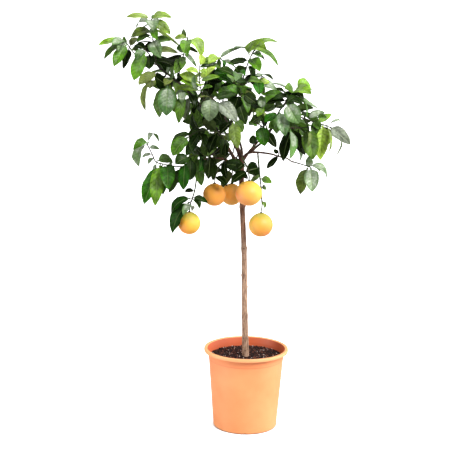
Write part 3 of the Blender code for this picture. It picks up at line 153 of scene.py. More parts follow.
# Each stem: its points, then its leaves as (share of the stem, tip across, tip height, tip depth, width,
# faces, arch). The face letters are front, back, left, right, up and down; capitals mark a young leaf.
SPRAYS = {
    "crest_left": ([(-34.5, 137.8, 0), (-35.2, 142, 0), (-35.9, 147, 0), (-36.2, 151.5, 0),
                    (-36.5, 153.9, 0)], [
        (1.0, -45.8, 154.3, -2, 2.6, "UF", 0.12),
        (1.0, -29.0, 154.4, -1, 3.4, "UF", 0.23),
        (0.98, -33.6, 155.0, 4, 1.8, "u", 0.2),
        (0.96, -35.6, 149.6, -8, 4.8, "UF", 0.2),
        (0.94, -29.5, 148.4, -4, 4.4, "FU", 0.16),
        (0.95, -41.6, 150.6, 6, 3.2, "UF", 0.26),
        (0.93, -40.2, 149.9, 2, 2.4, "LU", 0.1),
        (0.66, -43.9, 147.1, -3, 4.0, "fu", 0.26),
        (0.58, -41.8, 145.3, -6, 3.2, "lf", 0.18),
        (0.5, -40.7, 147.2, 1, 2.4, "u", 0.12),
        (0.42, -41.4, 145.3, 4, 2.6, "u", 0.06),
        (0.8, -25.4, 143.6, 4, 1.6, "uf", 0.03),
        (0.5, -32.8, 139.8, -9, 5.0, "f", 0.12),
        (0.44, -29.3, 146.2, -4, 3.8, "uf", 0.1),
        (0.14, -26.5, 141.6, -4, 3.2, "uf", 0.24),
        (0.82, -34.2, 146.3, -6, 3.0, "f", 0.08),
        (0.36, -39.5, 143.2, -7, 4.0, "f", 0.1),
    ]),
    "far_left": ([(-34, 137.3, 0), (-38.5, 138.6, 0), (-41.8, 140.6, 0), (-43.9, 143, -1), (-45.4, 145, -2),
                  (-46.4, 146.2, -2)], [
        (1.0, -55.9, 144.2, -2, 2.8, "UF", 0.08),
        (0.99, -50.9, 144.3, -7, 3.6, "UF", 0.12),
        (0.92, -53.8, 139.0, 2, 3.2, "fu", 0.1),
        (0.88, -50.1, 136.5, -7, 4.4, "fu", 0.04),
        (0.94, -48.6, 142.0, -9, 2.8, "FU", 0.14),
        (1.0, -46.6, 147.4, 1, 1.6, "LU", 0.1),
        (0.78, -46.6, 135.7, 3, 4.0, "fr", -0.06),
        (0.7, -41.2, 141.9, -5, 2.8, "fu", 0.12),
        (0.34, -43.1, 134.3, 5, 2.4, "lf", 0.1),
        (0.76, -41.8, 147.1, 3, 2.6, "uf", 0.14),
    ]),
    "left_droop": ([(-33.5, 136.5, 0), (-35.4, 139, -3), (-37.6, 141.6, -5), (-39, 142.9, -6)], [
        (1.0, -42.2, 138.8, -9, 3.2, "fu", 0.18),
        (0.9, -42.8, 131.5, -7, 5.2, "fu", 0.1),
        (0.7, -37.2, 135.7, -8, 4.2, "fu", 0.12),
        (1.0, -42.4, 144.4, -2, 3.4, "uf", 0.14),
        (0.4, -41.6, 136.4, 1, 3.4, "fl", 0.12),
        (0.5, -36.4, 140.2, -9, 3.4, "fr", 0.1),
    ]),
    "left_under": ([(-33, 135.8, 0), (-34.6, 135, -4), (-36, 133.4, -6), (-36.6, 131.6, -7)], [
        (0.45, -41.1, 129.9, -8, 4.4, "FU", 0.05),
        (1.0, -36.9, 128.7, -10, 4.0, "FU", 0.14),
        (1.0, -38.3, 120.2, -5, 3.0, "lf", 0.17),
    ]),
    "limb_shade": ([(-30.5, 134.2, 0.5), (-31.2, 133.6, 4), (-32, 132.6, 6)], [
        (0.7, -35.0, 131.0, 4, 4.2, "fl", 0.1),
        (0.9, -32.5, 128.3, 7, 4.8, "f", 0.1),
        (1.0, -29.2, 129.0, 5, 4.4, "fr", 0.1),
        (1.0, -34.5, 131.5, 13, 4.4, "ub", 0.12),
        (0.6, -29.6, 137.9, 3, 3.0, "uf", 0.14),
        (0.12, -36.0, 141.3, 2, 3.4, "fu", 0.05),
    ]),
    "left_front": ([(-27.5, 131.8, 1), (-28.8, 131.6, -5), (-30.4, 130.2, -10)], [
        (1.0, -30.8, 118.7, -12, 6.4, "f", 0.07),
        (0.92, -33.4, 117.9, -7, 5.4, "lf", 0.12),
        (0.8, -27.6, 119.9, -5, 3.6, "f", 0.08),
        (0.7, -31.5, 129.7, -13, 3.2, "FU", 0.22),
        (0.5, -28.2, 133.6, -8, 4.0, "uf", 0.16),
    ]),
    "left_mid": ([(-19.7, 124.4, 0), (-21, 126, -4), (-23, 127.3, -8), (-25.2, 127.8, -9)], [
        (1.0, -25.2, 123.6, -12, 3.0, "UF", 0.2),
        (0.95, -26.3, 116.0, -12, 3.6, "FU", 0.12),
        (0.5, -23.9, 117.3, -10, 5.0, "fl", 0.06),
        (0.75, -20.6, 121.4, -6, 4.2, "fr", 0.1),
        (0.85, -28.0, 125.5, -4, 3.6, "uf", 0.12),
    ]),
    "crest_second": ([(-27, 131.4, 1), (-26, 135.5, 2), (-25, 140, 1), (-23.9, 144, 0), (-23.2, 147.6, 0)], [
        (0.98, -28.2, 147.0, 1, 2.4, "UF", 0.12),
        (1.0, -24.9, 150.3, 2, 3.2, "fL", 0.14),
        (0.96, -18.3, 140.4, -2, 6.0, "RUF", 0.29),
        (0.97, -24.5, 141.6, -7, 4.0, "FU", 0.14),
        (0.8, -23.3, 140.3, -9, 2.8, "UF", 0.2),
        (0.76, -19.4, 141.9, -4, 1.8, "uf", 0.04),
        (0.9, -26.4, 142.4, -3, 3.2, "f", 0.12),
        (0.62, -32.7, 138.0, -4, 3.0, "fu", -0.08),
        (0.6, -19.8, 136.6, -5, 1.8, "UF", 0.16),
        (0.44, -27.8, 134.0, -9, 4.0, "FU", 0.14),
        (0.4, -28.9, 137.0, 8, 3.6, "lb", 0.14),
        (0.55, -25.4, 136.0, -3, 2.6, "f", 0.06),
    ]),
    "spark": ([(-15.8, 119.4, 0), (-16.6, 123.5, -5), (-17.8, 127, -9), (-18.6, 130.5, -10),
               (-18.8, 134, -10), (-18.7, 137.4, -9)], [
        (1.0, -18.5, 141.6, -8, 3.4, "FR", 0.12),
        (0.86, -24.0, 135.6, -10, 2.4, "UF", 0.2),
        (0.62, -25.9, 131.6, -11, 2.8, "UF", 0.1),
        (0.56, -27.2, 129.0, -6, 3.2, "UF", 0.12),
        (0.76, -12.8, 136.9, -8, 2.6, "UF", 0.12),
        (0.72, -11.3, 133.3, -11, 2.6, "UF", 0.12),
        (0.58, -20.5, 134.2, -14, 2.8, "FL", 0.14),
        (0.56, -13.9, 129.6, -14, 2.6, "UF", 0.14),
        (0.9, -16.0, 133.8, -15, 2.4, "UF", 0.16),
        (0.3, -20.6, 119.6, -12, 4.4, "fl", 0.1),
        (0.72, -26.1, 134.1, -6, 4.2, "uf", 0.1),
        (0.7, -18.7, 129.7, -9, 3.0, "f", 0.08),
    ]),
    "crest_third": ([(-19.7, 124.4, 0), (-17.5, 129, 4), (-14.6, 134, 4), (-12.8, 137.5, 2),
                     (-11.6, 140.3, 1)], [
        (0.98, -15.7, 138.0, -5, 3.8, "UF", 0.18),
        (1.0, -10.3, 136.7, -3, 2.8, "RF", 0.24),
        (1.0, -3.8, 143.9, 2, 1.8, "UF", 0.16),
        (0.9, -18.1, 138.2, 0, 3.4, "uf", 0.12),
        (0.84, -16.2, 136.4, -6, 3.0, "uf", 0.14),
        (1.0, -1.9, 138.3, 7, 1.7, "UF", 0.02),
        (0.66, -8.6, 133.8, 0, 3.6, "fu", 0.12),
        (0.5, -21.0, 133.4, 6, 3.8, "ul", 0.12),
        (0.6, -13.8, 131.4, 11, 4.0, "ub", 0.14),
        (0.9, -11.0, 136.5, -4, 3.4, "F", 0.1),
        (0.9, -18.6, 136.6, -3, 2.8, "uf", 0.1),
    ]),
    "mid_shoulder": ([(-5.8, 124.5, 2), (-6.8, 128, -1), (-6, 132, -3), (-4.6, 135.2, -4)], [
        (1.0, -10.2, 138.7, -3, 2.8, "U", 0.14),
        (0.95, -2.2, 133.8, -6, 2.8, "RUF", 0.3),
        (0.8, -12.0, 136.2, -7, 3.6, "FU", 0.12),
        (0.9, -5.6, 131.8, -13, 3.6, "UF", 0.16),
        (0.55, -13.6, 133.6, -5, 3.0, "uf", 0.12),
        (0.4, -12.0, 127.0, -4, 3.8, "fu", 0.1),
        (0.6, -1.0, 131.6, 6, 3.4, "ur", 0.12),
    ]),
    "crest_mid": ([(-3.4, 131.3, 2), (-2.1, 135.2, 2), (-1.5, 137.4, 2), (-0.5, 140, 2), (0.3, 141.8, 2),
                   (1.4, 143.4, 1)], [
        (1.0, 9.8, 146.0, 1, 2.3, "UF", 0.38),
        (1.0, 5.5, 143.3, -5, 5.2, "FU", 0.25),
        (0.97, 9.9, 137.4, -2, 3.2, "FRU", 0.19),
        (1.0, 0.1, 146.5, 2, 2.0, "LF", 0.1),
        (0.86, -7.4, 143.3, 1, 3.8, "U", 0.15),
        (0.66, 3.3, 135.5, -4, 4.6, "FU", 0.12),
        (0.62, -8.4, 137.8, 0, 3.0, "fu", 0.06),
        (0.9, 4.9, 139.4, 5, 2.4, "U", 0.14),
        (0.4, -6.4, 133.2, 8, 3.6, "ub", 0.12),
        (0.94, 3.8, 140.4, -4, 3.0, "FU", 0.1),
        (1.0, 4.2, 147.6, -3, 3.2, "FL", 0.3),
    ]),
    "mid_right": ([(-4.7, 128, 2), (-2.6, 130.4, -1), (0, 131.6, -2), (2.6, 131.2, -3)], [
        (0.5, 4.9, 133.0, 1, 2.8, "U", 0.2),
        (0.6, 4.4, 131.3, -6, 2.6, "UF", 0.26),
        (0.8, 8.3, 132.2, 5, 3.4, "U", 0.24),
        (0.2, 5.6, 132.8, 4, 2.6, "U", 0.2),
        (1.0, 3.2, 126.8, -9, 4.0, "FU", 0.14),
        (1.0, 6.9, 131.4, -6, 3.0, "UF", 0.14),
        (1.0, 9.6, 128.8, -1, 3.8, "UF", 0.14),
        (0.4, -1.4, 126.0, -7, 3.8, "fl", 0.12),
        (0.3, -1.0, 129.7, -8, 3.6, "f", 0.1),
        (1.0, 4.9, 126.9, -3, 3.4, "uf", 0.12),
    ]),
    "crest_right": ([(10.6, 121, 0), (12.6, 124, -1), (14.6, 126.6, -1), (16.4, 128.8, -1)], [
        (1.0, 22.1, 129.0, 1, 5.4, "UF", 0.4),
        (0.97, 22.3, 127.5, -6, 5.0, "FU", 0.22),
        (0.96, 19.5, 125.4, -2, 2.6, "RF", 0.24),
        (0.98, 12.4, 129.4, -4, 4.8, "FU", 0.16),
        (0.9, 14.0, 125.2, -9, 4.0, "FU", 0.16),
        (0.94, 6.9, 131.1, 2, 2.6, "U", 0.12),
        (0.7, 8.0, 125.2, -3, 2.6, "FU", 0.12),
        (0.9, 23.6, 122.7, 4, 2.4, "UF", 0.04),
        (0.8, 24.9, 122.2, 0, 2.2, "URF", 0.04),
        (0.66, 20.7, 118.8, -3, 3.0, "ru", 0.26),
        (0.5, 8.6, 128.6, 8, 3.8, "ub", 0.14),
        (0.84, 18.6, 126.4, 9, 3.6, "ub", 0.14),
        (0.6, 4.2, 126.9, -4, 3.4, "uf", 0.14),
        (0.45, 5.7, 123.6, -7, 2.8, "fu", 0.1),
        (0.8, 19.3, 123.6, -9, 3.4, "uf", 0.12),
    ]),
    "right_front": ([(8.6, 115.8, 0), (9.4, 118.8, -7), (11, 121.4, -12), (13.4, 124.2, -14)], [
        (1.0, 18.0, 116.6, -16, 5.8, "f", 0.1),
        (0.7, 13.1, 111.8, -16, 4.8, "fu", 0.12),
        (0.4, 9.9, 112.6, -12, 4.0, "fu", 0.12),
        (0.9, 9.0, 122.4, -15, 3.6, "UF", 0.14),
        (0.55, 5.4, 116.8, -12, 3.8, "fl", 0.12),
        (1.0, 16.6, 126.6, -16, 3.0, "FU", 0.1),
        (0.45, 7.6, 120.3, -9, 3.6, "fl", 0.1),
        (0.2, 6.7, 114.6, -9, 3.2, "f", 0.08),
    ]),
    "far_right": ([(10.2, 119.8, 0), (14.5, 119.6, 0), (19, 118.8, 0), (23, 117.4, -1), (26.4, 116.4, -1),
                   (29, 115.7, -2)], [
        (1.0, 37.2, 109.1, -4, 5.2, "FU", 0.03),
        (0.94, 32.7, 117.2, 4, 1.0, "URF", 0.42),
        (1.0, 31.5, 104.1, 1, 2.4, "R", 0.3),
        (0.96, 28.6, 108.4, -4, 3.2, "fr", 0.1),
        (0.88, 26.3, 103.1, -7, 5.8, "F", 0.08),
        (0.97, 29.4, 106.2, -8, 2.6, "FR", 0.08),
        (0.68, 25.8, 114.3, -5, 3.4, "fu", 0.12),
        (0.72, 23.8, 111.6, -8, 3.2, "FU", 0.14),
        (0.6, 23.5, 118.9, 5, 2.8, "U", 0.2),
        (0.76, 29.9, 120.3, 1, 3.0, "UF", 0.05),
        (0.74, 28.2, 118.7, -4, 3.4, "UF", 0.18),
        (0.5, 16.6, 121.0, 8, 3.8, "ub", 0.14),
        (0.3, 12.8, 116.0, 6, 3.8, "br", 0.14),
        (0.42, 21.6, 113.1, -8, 3.2, "fr", 0.06),
        (0.55, 27.5, 120.8, 2, 3.0, "uf", 0.16),
    ]),
    "right_hang": ([(8.6, 115.8, 0), (12.5, 115, -4), (17, 114.9, -5), (21.4, 115.2, -5)], [
        (0.6, 12.5, 102.4, -5, 5.3, "fl", 0.08),
        (0.5, 14.8, 103.3, -9, 4.8, "fr", 0.08),
        (0.62, 18.8, 106.6, -4, 4.2, "f", 0.08),
        (0.74, 20.4, 104.9, -1, 4.4, "fl", 0.08),
        (0.98, 23.6, 103.3, -8, 6.0, "f", 0.08),
        (0.95, 21.4, 107.8, -10, 3.0, "fr", 0.08),
        (0.6, 18.5, 102.4, 3, 4.2, "fr", 0.08),
        (0.88, 22.4, 102.2, 2, 2.6, "r", 0.1),
        (0.34, 14.8, 110.0, 3, 4.0, "bu", 0.12),
    ]),
    "low_right": ([(15.6, 102.4, -2), (18, 101.9, -2), (20.5, 101.1, -2), (22.9, 100.3, -2)], [
        (0.85, 19.2, 90.1, -2, 5.4, "fl", 0.06),
        (1.0, 23.6, 91.1, -5, 5.4, "f", 0.08),
        (0.9, 22.0, 104.6, -3, 2.8, "F", 0.1),
        (1.0, 28.8, 96.2, 0, 3.4, "RUF", 0.31),
        (1.0, 26.4, 98.6, 4, 2.0, "u", 0.1),
    ]),
    "low_right_bud": ([(10.6, 104.4, -2), (10.9, 104.9, -3), (10.8, 105.6, -3.6)], [
        (0.3, 6.4, 99.5, -5, 2.8, "fl", -0.08),
        (1.0, 8.8, 106.8, -4, 1.6, "f", 0.08),
    ]),
    "right_inner": ([(7, 112.6, 0), (5.6, 114.4, -4), (3.8, 115.8, -7), (2.4, 116.4, -8)], [
        (0.8, 5.6, 108.0, -10, 5.0, "f", 0.08),
        (0.3, 9.9, 107.6, -4, 3.6, "fu", -0.1),
        (0.95, -0.2, 117.3, -11, 3.2, "fl", 0.12),
        (0.55, 3.6, 119.6, -7, 3.0, "UF", 0.14),
    ]),
    "crotch_right": ([(2.4, 107.6, -1), (1.7, 108, -2.4), (1.2, 108.4, -3.2)], [
        (1.0, 1.2, 112.1, -3.4, 3.0, "f", 0.08),
    ]),
    "centre_front": ([(-11.6, 123, -14), (-13, 124.6, -15), (-14.6, 125.8, -16)], [
        (1.0, -15.2, 116.9, -19, 6.2, "f", 0.1),
        (0.2, -4.8, 117.0, -18, 5.6, "fu", 0.12),
        (0.4, -10.0, 116.6, -15, 3.0, "f", 0.08),
        (0.5, -5.2, 126.9, -15, 3.4, "uf", 0.14),
        (0.9, -19.6, 125.2, -16, 3.6, "ul", 0.12),
    ]),
    "centre_shoulder": ([(-5.8, 124.5, 2), (-4.6, 125.8, -5), (-3.6, 127, -10), (-2.6, 127.4, -12)], [
        (1.0, 2.2, 123.8, -14, 3.8, "fr", 0.12),
        (0.9, -0.9, 120.2, -13, 4.0, "fr", 0.1),
        (0.6, -6.0, 121.0, -12, 5.0, "fu", 0.12),
        (0.4, -1.5, 115.8, -6, 4.2, "f", 0.08),
        (0.8, -8.8, 129.8, -11, 3.4, "uf", 0.12),
    ]),
    "centre_low": ([(-7.6, 115, -11), (-7, 116.6, -12), (-6, 117.4, -12.5)], [
        (1.0, -2.7, 113.1, -12, 3.8, "fu", 0.12),
        (0.7, -4.4, 107.0, -14, 4.4, "F", 0.1),
        (0.4, -11.0, 112.5, -14, 3.8, "fl", 0.1),
    ]),
    "inner_right": ([(7, 112.6, 0), (5.8, 116, 2), (4.8, 119.4, 1), (4.4, 122, 0)], [
        (1.0, 2.6, 118.8, -4, 3.0, "FU", 0.16),
        (0.6, 0.5, 118.2, 3, 3.0, "fl", 0.12),
        (0.8, 9.8, 123.0, 4, 3.4, "ur", 0.12),
        (1.0, 3.8, 126.8, 2, 3.2, "uf", 0.12),
        (0.5, 9.0, 118.8, 7, 3.6, "ub", 0.12),
        (0.9, 0.6, 124.4, 5, 3.6, "ul", 0.12),
        (0.8, -0.7, 115.8, -5, 3.2, "f", 0.1),
    ]),
    "left_mass": ([(-12.4, 114.2, -1), (-16, 113.8, -6), (-20, 112.8, -9), (-22.6, 111, -10)], [
        (0.45, -22.2, 109.0, -7, 6.2, "fl", 0.07),
        (1.0, -28.5, 103.9, -12, 5.4, "FU", 0.14),
        (0.85, -29.0, 108.2, -5, 3.4, "uf", 0.12),
        (0.7, -17.2, 107.4, -13, 4.6, "fr", 0.1),
        (0.6, -21.2, 119.6, -6, 4.2, "ul", 0.12),
        (0.3, -14.6, 121.4, -7, 4.2, "fl", 0.1),
        (0.6, -23.5, 103.9, -6, 3.6, "f", 0.1),
    ]),
    "low_left_mass": ([(-16, 103, -5), (-18.6, 104.6, -9), (-21.6, 103.8, -12), (-24, 101.8, -13)], [
        (0.8, -27.5, 100.9, -15, 5.0, "fu", 0.14),
        (1.0, -24.4, 91.2, -13, 4.0, "f", 0.08),
        (0.75, -21.9, 94.9, -10, 4.4, "f", 0.08),
        (0.5, -17.6, 92.8, -12, 3.8, "F", 0.08),
        (0.35, -18.6, 98.2, -15, 4.4, "fr", 0.1),
        (0.55, -22.4, 109.4, -15, 4.0, "FL", 0.12),
    ]),
    "inner_low": ([(-12, 103.4, -5), (-13.4, 104.8, -9), (-14.8, 104.2, -11)], [
        (0.9, -15.1, 95.4, -13, 4.0, "f", 0.08),
        (0.5, -13.4, 94.7, -9, 2.4, "f", 0.08),
        (1.0, -19.4, 106.8, -14, 4.0, "FL", 0.12),
    ]),
    "crotch_left": ([(-8.9, 108.6, -1), (-10, 111.2, -5), (-12.2, 113.2, -8)], [
        (0.9, -15.0, 105.0, -10, 4.8, "fl", 0.08),
        (0.5, -10.6, 104.4, -7, 5.2, "fr", 0.08),
        (1.0, -17.2, 117.6, -9, 4.0, "ul", 0.12),
    ]),
    "crotch_low": ([(-8.4, 102.6, -4), (-8.7, 103.4, -5), (-9, 103.8, -6)], [
        (0.6, -8.2, 95.6, -7, 3.8, "fl", 0.08),
        (1.0, -8.9, 108.6, -7, 2.2, "F", 0.1),
    ]),
    "behind_trunk": ([(-4.8, 112, 10), (-5.6, 108, 11), (-6.4, 103.5, 10), (-7, 99, 9)], [
        (0.9, -0.4, 95.6, 7, 3.4, "uf", 0.1),
        (0.6, -4.4, 98.0, 13, 3.8, "fr", 0.1),
        (0.5, -15.3, 99.6, 12, 3.6, "bl", 0.1),
        (1.0, -10.2, 92.0, 12, 3.6, "b", 0.1),
    ]),
    "low_left": ([(-20, 101.6, -4), (-24, 100, -6), (-28.3, 100.1, -6), (-31.5, 100.7, -6),
                  (-34.6, 101.6, -6), (-36.3, 105, -6), (-38, 108.3, -6)], [
        (1.0, -40.9, 99.6, -8, 5.0, "LUF", 0.26),
        (0.97, -43.1, 105.9, -11, 3.4, "UF", 0.36),
        (1.0, -33.3, 108.6, -3, 3.0, "U", 0.8),
        (0.94, -33.3, 106.4, -7, 1.9, "UF", 0.04),
        (0.8, -39.8, 103.5, -3, 2.0, "UF", 0.04),
        (0.74, -37.4, 100.7, 2, 2.0, "U", 0.04),
        (0.66, -28.3, 101.2, -3, 4.2, "UF", 0.24),
        (0.64, -34.0, 95.9, -4, 2.6, "fl", 0.12),
        (0.53, -39.0, 85.5, -8, 6.2, "FL", 0.1),
        (0.58, -34.9, 84.9, -12, 5.2, "FU", 0.1),
        (0.46, -30.0, 91.2, -14, 5.4, "fu", 0.12),
        (0.44, -31.9, 89.3, -8, 6.2, "fl", 0.06),
        (0.24, -26.6, 93.8, -2, 4.2, "f", 0.08),
        (0.34, -31.5, 96.2, 3, 4.0, "bl", 0.12),
        (0.38, -29.7, 90.1, -2, 5.0, "fr", 0.08),
    ]),
    "fruit_twig_left": ([(-20, 101.6, -4), (-19.5, 97.5, -6), (-19.9, 92.5, -6), (-20.8, 88.6, -5.4),
                         (-21.7, 85.8, -5), (-22.1, 83.6, -5)], [
        (0.72, -28.9, 82.4, -5, 4.6, "ULF", 0.22),
        (0.78, -28.4, 74.6, -8, 6.4, "LUF", 0.14),
        (0.7, -15.2, 86.4, -9, 2.6, "uf", 0.12),
        (0.74, -18.3, 84.2, -7, 3.0, "RUF", 0.22),
        (0.56, -23.9, 90.6, -6, 2.0, "uf", 0.1),
        (0.86, -24.5, 81.6, -10, 2.8, "FU", 0.14),
        (0.88, -21.1, 83.2, -1, 2.2, "fr", 0.1),
    ]),
    "fruit_twig_right": ([(3, 105.6, -1.5), (3.4, 102, -3), (3.8, 98, -3), (4.4, 93.5, -3), (4.8, 89, -3),
                          (5, 85.5, -3), (4.8, 83.3, -3)], [
        (0.24, -1.2, 98.5, -6, 5.4, "fl", 0.12),
        (0.3, 0.5, 94.7, -9, 2.6, "FR", 0.06),
        (0.42, 8.5, 94.4, -3, 3.2, "UF", 0.08),
        (0.58, 6.6, 91.9, -2, 2.2, "UF", 0.2),
        (0.8, 6.0, 84.6, -3, 1.8, "RF", 0.2),
    ]),
    "fruit_twig_front": ([(-3.6, 105.5, -4), (-2.6, 103.4, -8), (-0.8, 100, -9.4), (0, 96.8, -8.6),
                          (0, 95.2, -8)], [
        (0.5, -4.4, 99.2, -12, 3.6, "fl", 0.12),
        (0.7, -6.7, 94.0, -10, 3.4, "fl", 0.1),
    ]),
    "fruit_twig_middle": ([(-8.4, 102.6, -4), (-11, 100.4, -7), (-12.4, 97, -5), (-12.8, 94.1, -2)], [
        (0.7, -8.1, 92.8, -9, 2.4, "fu", 0.12),
        (0.5, -14.4, 99.8, -4, 3.4, "fu", 0.12),
    ]),
    "fruit_twig_back": ([(-3, 107, 5), (-5, 103, 6.6), (-6.2, 98.4, 6.4), (-6.4, 94.2, 6)], [
        (0.4, -3.4, 100.2, 10, 3.0, "b", 0.1),
    ]),
}

# Leafy stems at the back: their points and number of leaves, which follow a spiral
BACK_SPRAYS = {
    "back_a": ([(-7.6, 117, 14), (-12.5, 117.6, 18), (-16.5, 119.4, 24)], 7),
    "back_b": ([(-10, 121, 17), (-10, 125.4, 20), (-9, 129.6, 23)], 7),
    "back_c": ([(-4.8, 112, 10), (-9.6, 112.6, 17), (-14, 112.4, 23)], 7),
    "back_d": ([(6, 112.7, 11), (4, 118.4, 15), (2.4, 123.4, 19)], 6),
    "back_e": ([(11, 118, 16), (14.4, 119.4, 20), (17.4, 119.6, 25)], 7),
    "back_f": ([(8, 114.8, 13), (12.8, 115.6, 19), (17, 113.4, 22)], 6),
    "back_g": ([(-24, 129, 1), (-26.6, 131.2, 8), (-29.4, 132.2, 14)], 7),
    "back_h": ([(-17.8, 122, 0), (-18.8, 122.8, 8), (-19.4, 123.6, 15)], 6),
    "back_i": ([(-12.4, 114.2, -1), (-14.4, 110, 7), (-16.6, 106.4, 13)], 6),
    "back_j": ([(-5.8, 124.5, 2), (-5.4, 127, 9), (-6, 129.6, 15)], 6),
    "back_k": ([(9.3, 117.4, 0), (13.4, 117, 8), (17.4, 115.4, 14)], 6),
}
GOLDEN_TURN = math.radians(137.5)
BACK_LEAF_LENGTH = (8.0, 11.5)
BACK_LEAF_WIDTH_SHARE = 0.46
BACK_LEAF_SPREAD = math.radians(62)
BACK_LEAF_DROOP = 0.45
BACK_LEAF_ARCH = 0.16
BACK_LEAF_START = 0.3
BACK_LEAF_CLOSING = 0.35
BACK_DROOP_SPREAD = (0.5, 1.3)

# Leaves that fill the crown behind those in front: ranges of their tips across, in height and in depth
# in cm, and their number
FILLS = (
    ((-22, -9), (98, 112), (-9, 10), 9),
    ((-20, -9), (112, 126), (-9, 10), 6),
    ((-9, -3), (116, 128), (-6, 10), 5),
    ((0, 9), (124, 133), (-4, 8), 4),
    ((12, 26), (106, 125), (-6, 10), 5),
    ((-34, -22), (127, 138), (-6, 8), 5),
    ((-20, 0), (124, 136), (-6, 8), 6),
)
FILL_REACH = (6.5 * CM, 10.5 * CM)
FILL_WIDTH_SHARE = (0.40, 0.50)
FILL_ARCH = (0.08, 0.18)
FILL_RISE = 1 * CM
FILL_TRIES = 30
PERCH_STEP = 1 * CM
FILL_FACES = ("uf", "f", "fl", "fr", "ul", "ur")

# Fruit: (across, height, depth) of the centre in cm, width in cm, height as a share of the width
FRUITS = {
    "grapefruit_left": ((-22.1, 78.6, -5), 8.3, 1.0),
    "grapefruit_middle": ((-12.8, 89.5, -2), 8.6, 0.97),
    "grapefruit_back": ((-6.4, 89.7, 6), 8.3, 0.98),
    "grapefruit_front": ((0.0, 90.2, -8), 9.8, 0.93),
    "grapefruit_right": ((4.7, 78.3, -3), 9.0, 0.98),
}
FRUIT_OF_TWIG = {
    "fruit_twig_left": "grapefruit_left",
    "fruit_twig_middle": "grapefruit_middle",
    "fruit_twig_back": "grapefruit_back",
    "fruit_twig_front": "grapefruit_front",
    "fruit_twig_right": "grapefruit_right",
}
# The space that a fruit keeps clear: its sides, the degrees from its top of its rings, its neck, and
# the height of the calyx over it
FRUIT_SEGMENTS = 14
FRUIT_PROFILE = (22, 50, 78, 104, 132, 158)
FRUIT_NECK = 0.03
NECK_POWER = 4
CALYX_HEIGHT = 2.6 * MM

# Finer fruit: its dimples, and the lumps that make it uneven
BALL_SEGMENTS = 56
BALL_RINGS = 36
DIMPLE = 0.02
DIMPLE_FALL = -55.0
UNEVEN = 0.03
LUMPS = 1.6
LUMP_SHIFT = 40.0

# Finer leaf: (place along it, half width as a share of the widest, thickness share), then its columns
# from edge to edge, its thickness, how the blade waves, flutters and bulges, and its side veins
OUTLINE = ((0.0, 0.045, 1.0), (0.03, 0.05, 1.0), (0.06, 0.09, 1.0), (0.09, 0.17, 0.9), (0.115, 0.20, 0.8),
           (0.132, 0.07, 1.0), (0.15, 0.20, 1.0), (0.19, 0.45, 1.0), (0.25, 0.70, 1.0), (0.32, 0.88, 1.0),
           (0.40, 0.97, 0.9), (0.50, 1.0, 0.9), (0.60, 0.99, 0.8), (0.70, 0.92, 0.8), (0.79, 0.77, 0.7),
           (0.87, 0.56, 0.6), (0.93, 0.34, 0.5), (0.97, 0.17, 0.5))
COLUMNS = (-1, -0.78, -0.5, -0.2, 0, 0.2, 0.5, 0.78, 1)
SHEET = 0.25 * MM
RIB = 0.9 * MM
WAVE_TOP = 0.37
WAVE_LENGTH = 0.74
FLUTTER = 0.05
FLUTTER_PACE = 21.0
BULGE = 0.07
VEINS = 9.0
VEIN_LEAN = 1.5
VEIN_STRAY = 0.35
SHARP = math.radians(60)

# Finer stems: how much thicker they are, also where they bear fruit, and the swelling at each leaf
FINE_STEP = 5 * MM
TWIG_SIDES = 8
TWIG_SWELL = 1.2
TWIG_BEARING = 1.5
NODE_SWELL = 0.5 * MM
NODE_REACH = 3 * MM

# Calyx rings: radius, height over the fruit's top, depth of the lobes
CALYX_POINTS = 30
CALYX_LOBES = 5
CALYX_RINGS = ((0.0015, -0.0010, 0.0), (0.0050, -0.0006, 0.30), (0.0052, 0.0010, 0.30),
               (0.0034, 0.0024, 0.12), (0.0022, 0.0036, 0.0))

# Finer wood: the stubs' shape is (share of their reach, radius in mm)
WOOD_SIDES = 24
TRUNK_BARK = 0.7 * MM
BARK_GRAIN = 110.0
BARK_RELIEF = 1.1 * MM
SPUR_BULGE = 1.05
STUB_RISE = 0.5
COLLAR = 0.35
COLLAR_REACH = 12 * MM
KNOT_SWELL = 1.3 * MM
KNOT_REACH = 9 * MM
STUB_SHAPE = ((0.0, 7.0), (0.55, 5.4), (0.85, 4.0), (0.95, 3.4), (1.0, 2.2))

# Fine parts of the pot, with its neck under the rim
POT_FINE = 128
FOOT_STEPS = 6
NOTCH_STEPS = 9
NECK_DROP = 0.004
NECK_PINCH = 0.0006
NECK_FLARE = 0.002
POT_CREASE = math.radians(35)

# Finer compost: ripples as (pace, share), then the crumbs
SOIL_FINE = 26
SOIL_SINK = 1.5 * MM
SOIL_RIPPLES = ((45, 0.6), (160, 0.4))
SOIL_CREASE = math.radians(50)
CRUMB_DENSITY = 30000.0
CRUMB_SIZE = (1.2 * MM, 3.2 * MM)
CRUMB_STRETCH = ((0.6, 0.6, 0.35), (1.5, 1.1, 0.8))
CRUMB_TURN = ((-0.7, -0.7, -3.14), (0.7, 0.7, 3.14))
CRUMB_CHIPS = 260.0
CHIP_DEPTH = 0.004
CRUMB_SEED = 5
SPECK_SEED = 7
SIZE_SEED = 11
STRETCH_SEED = 12
TURN_SEED = 13
CRUMB_INSET = 3 * MM
TRUNK_SHARE_BARE = 0.9

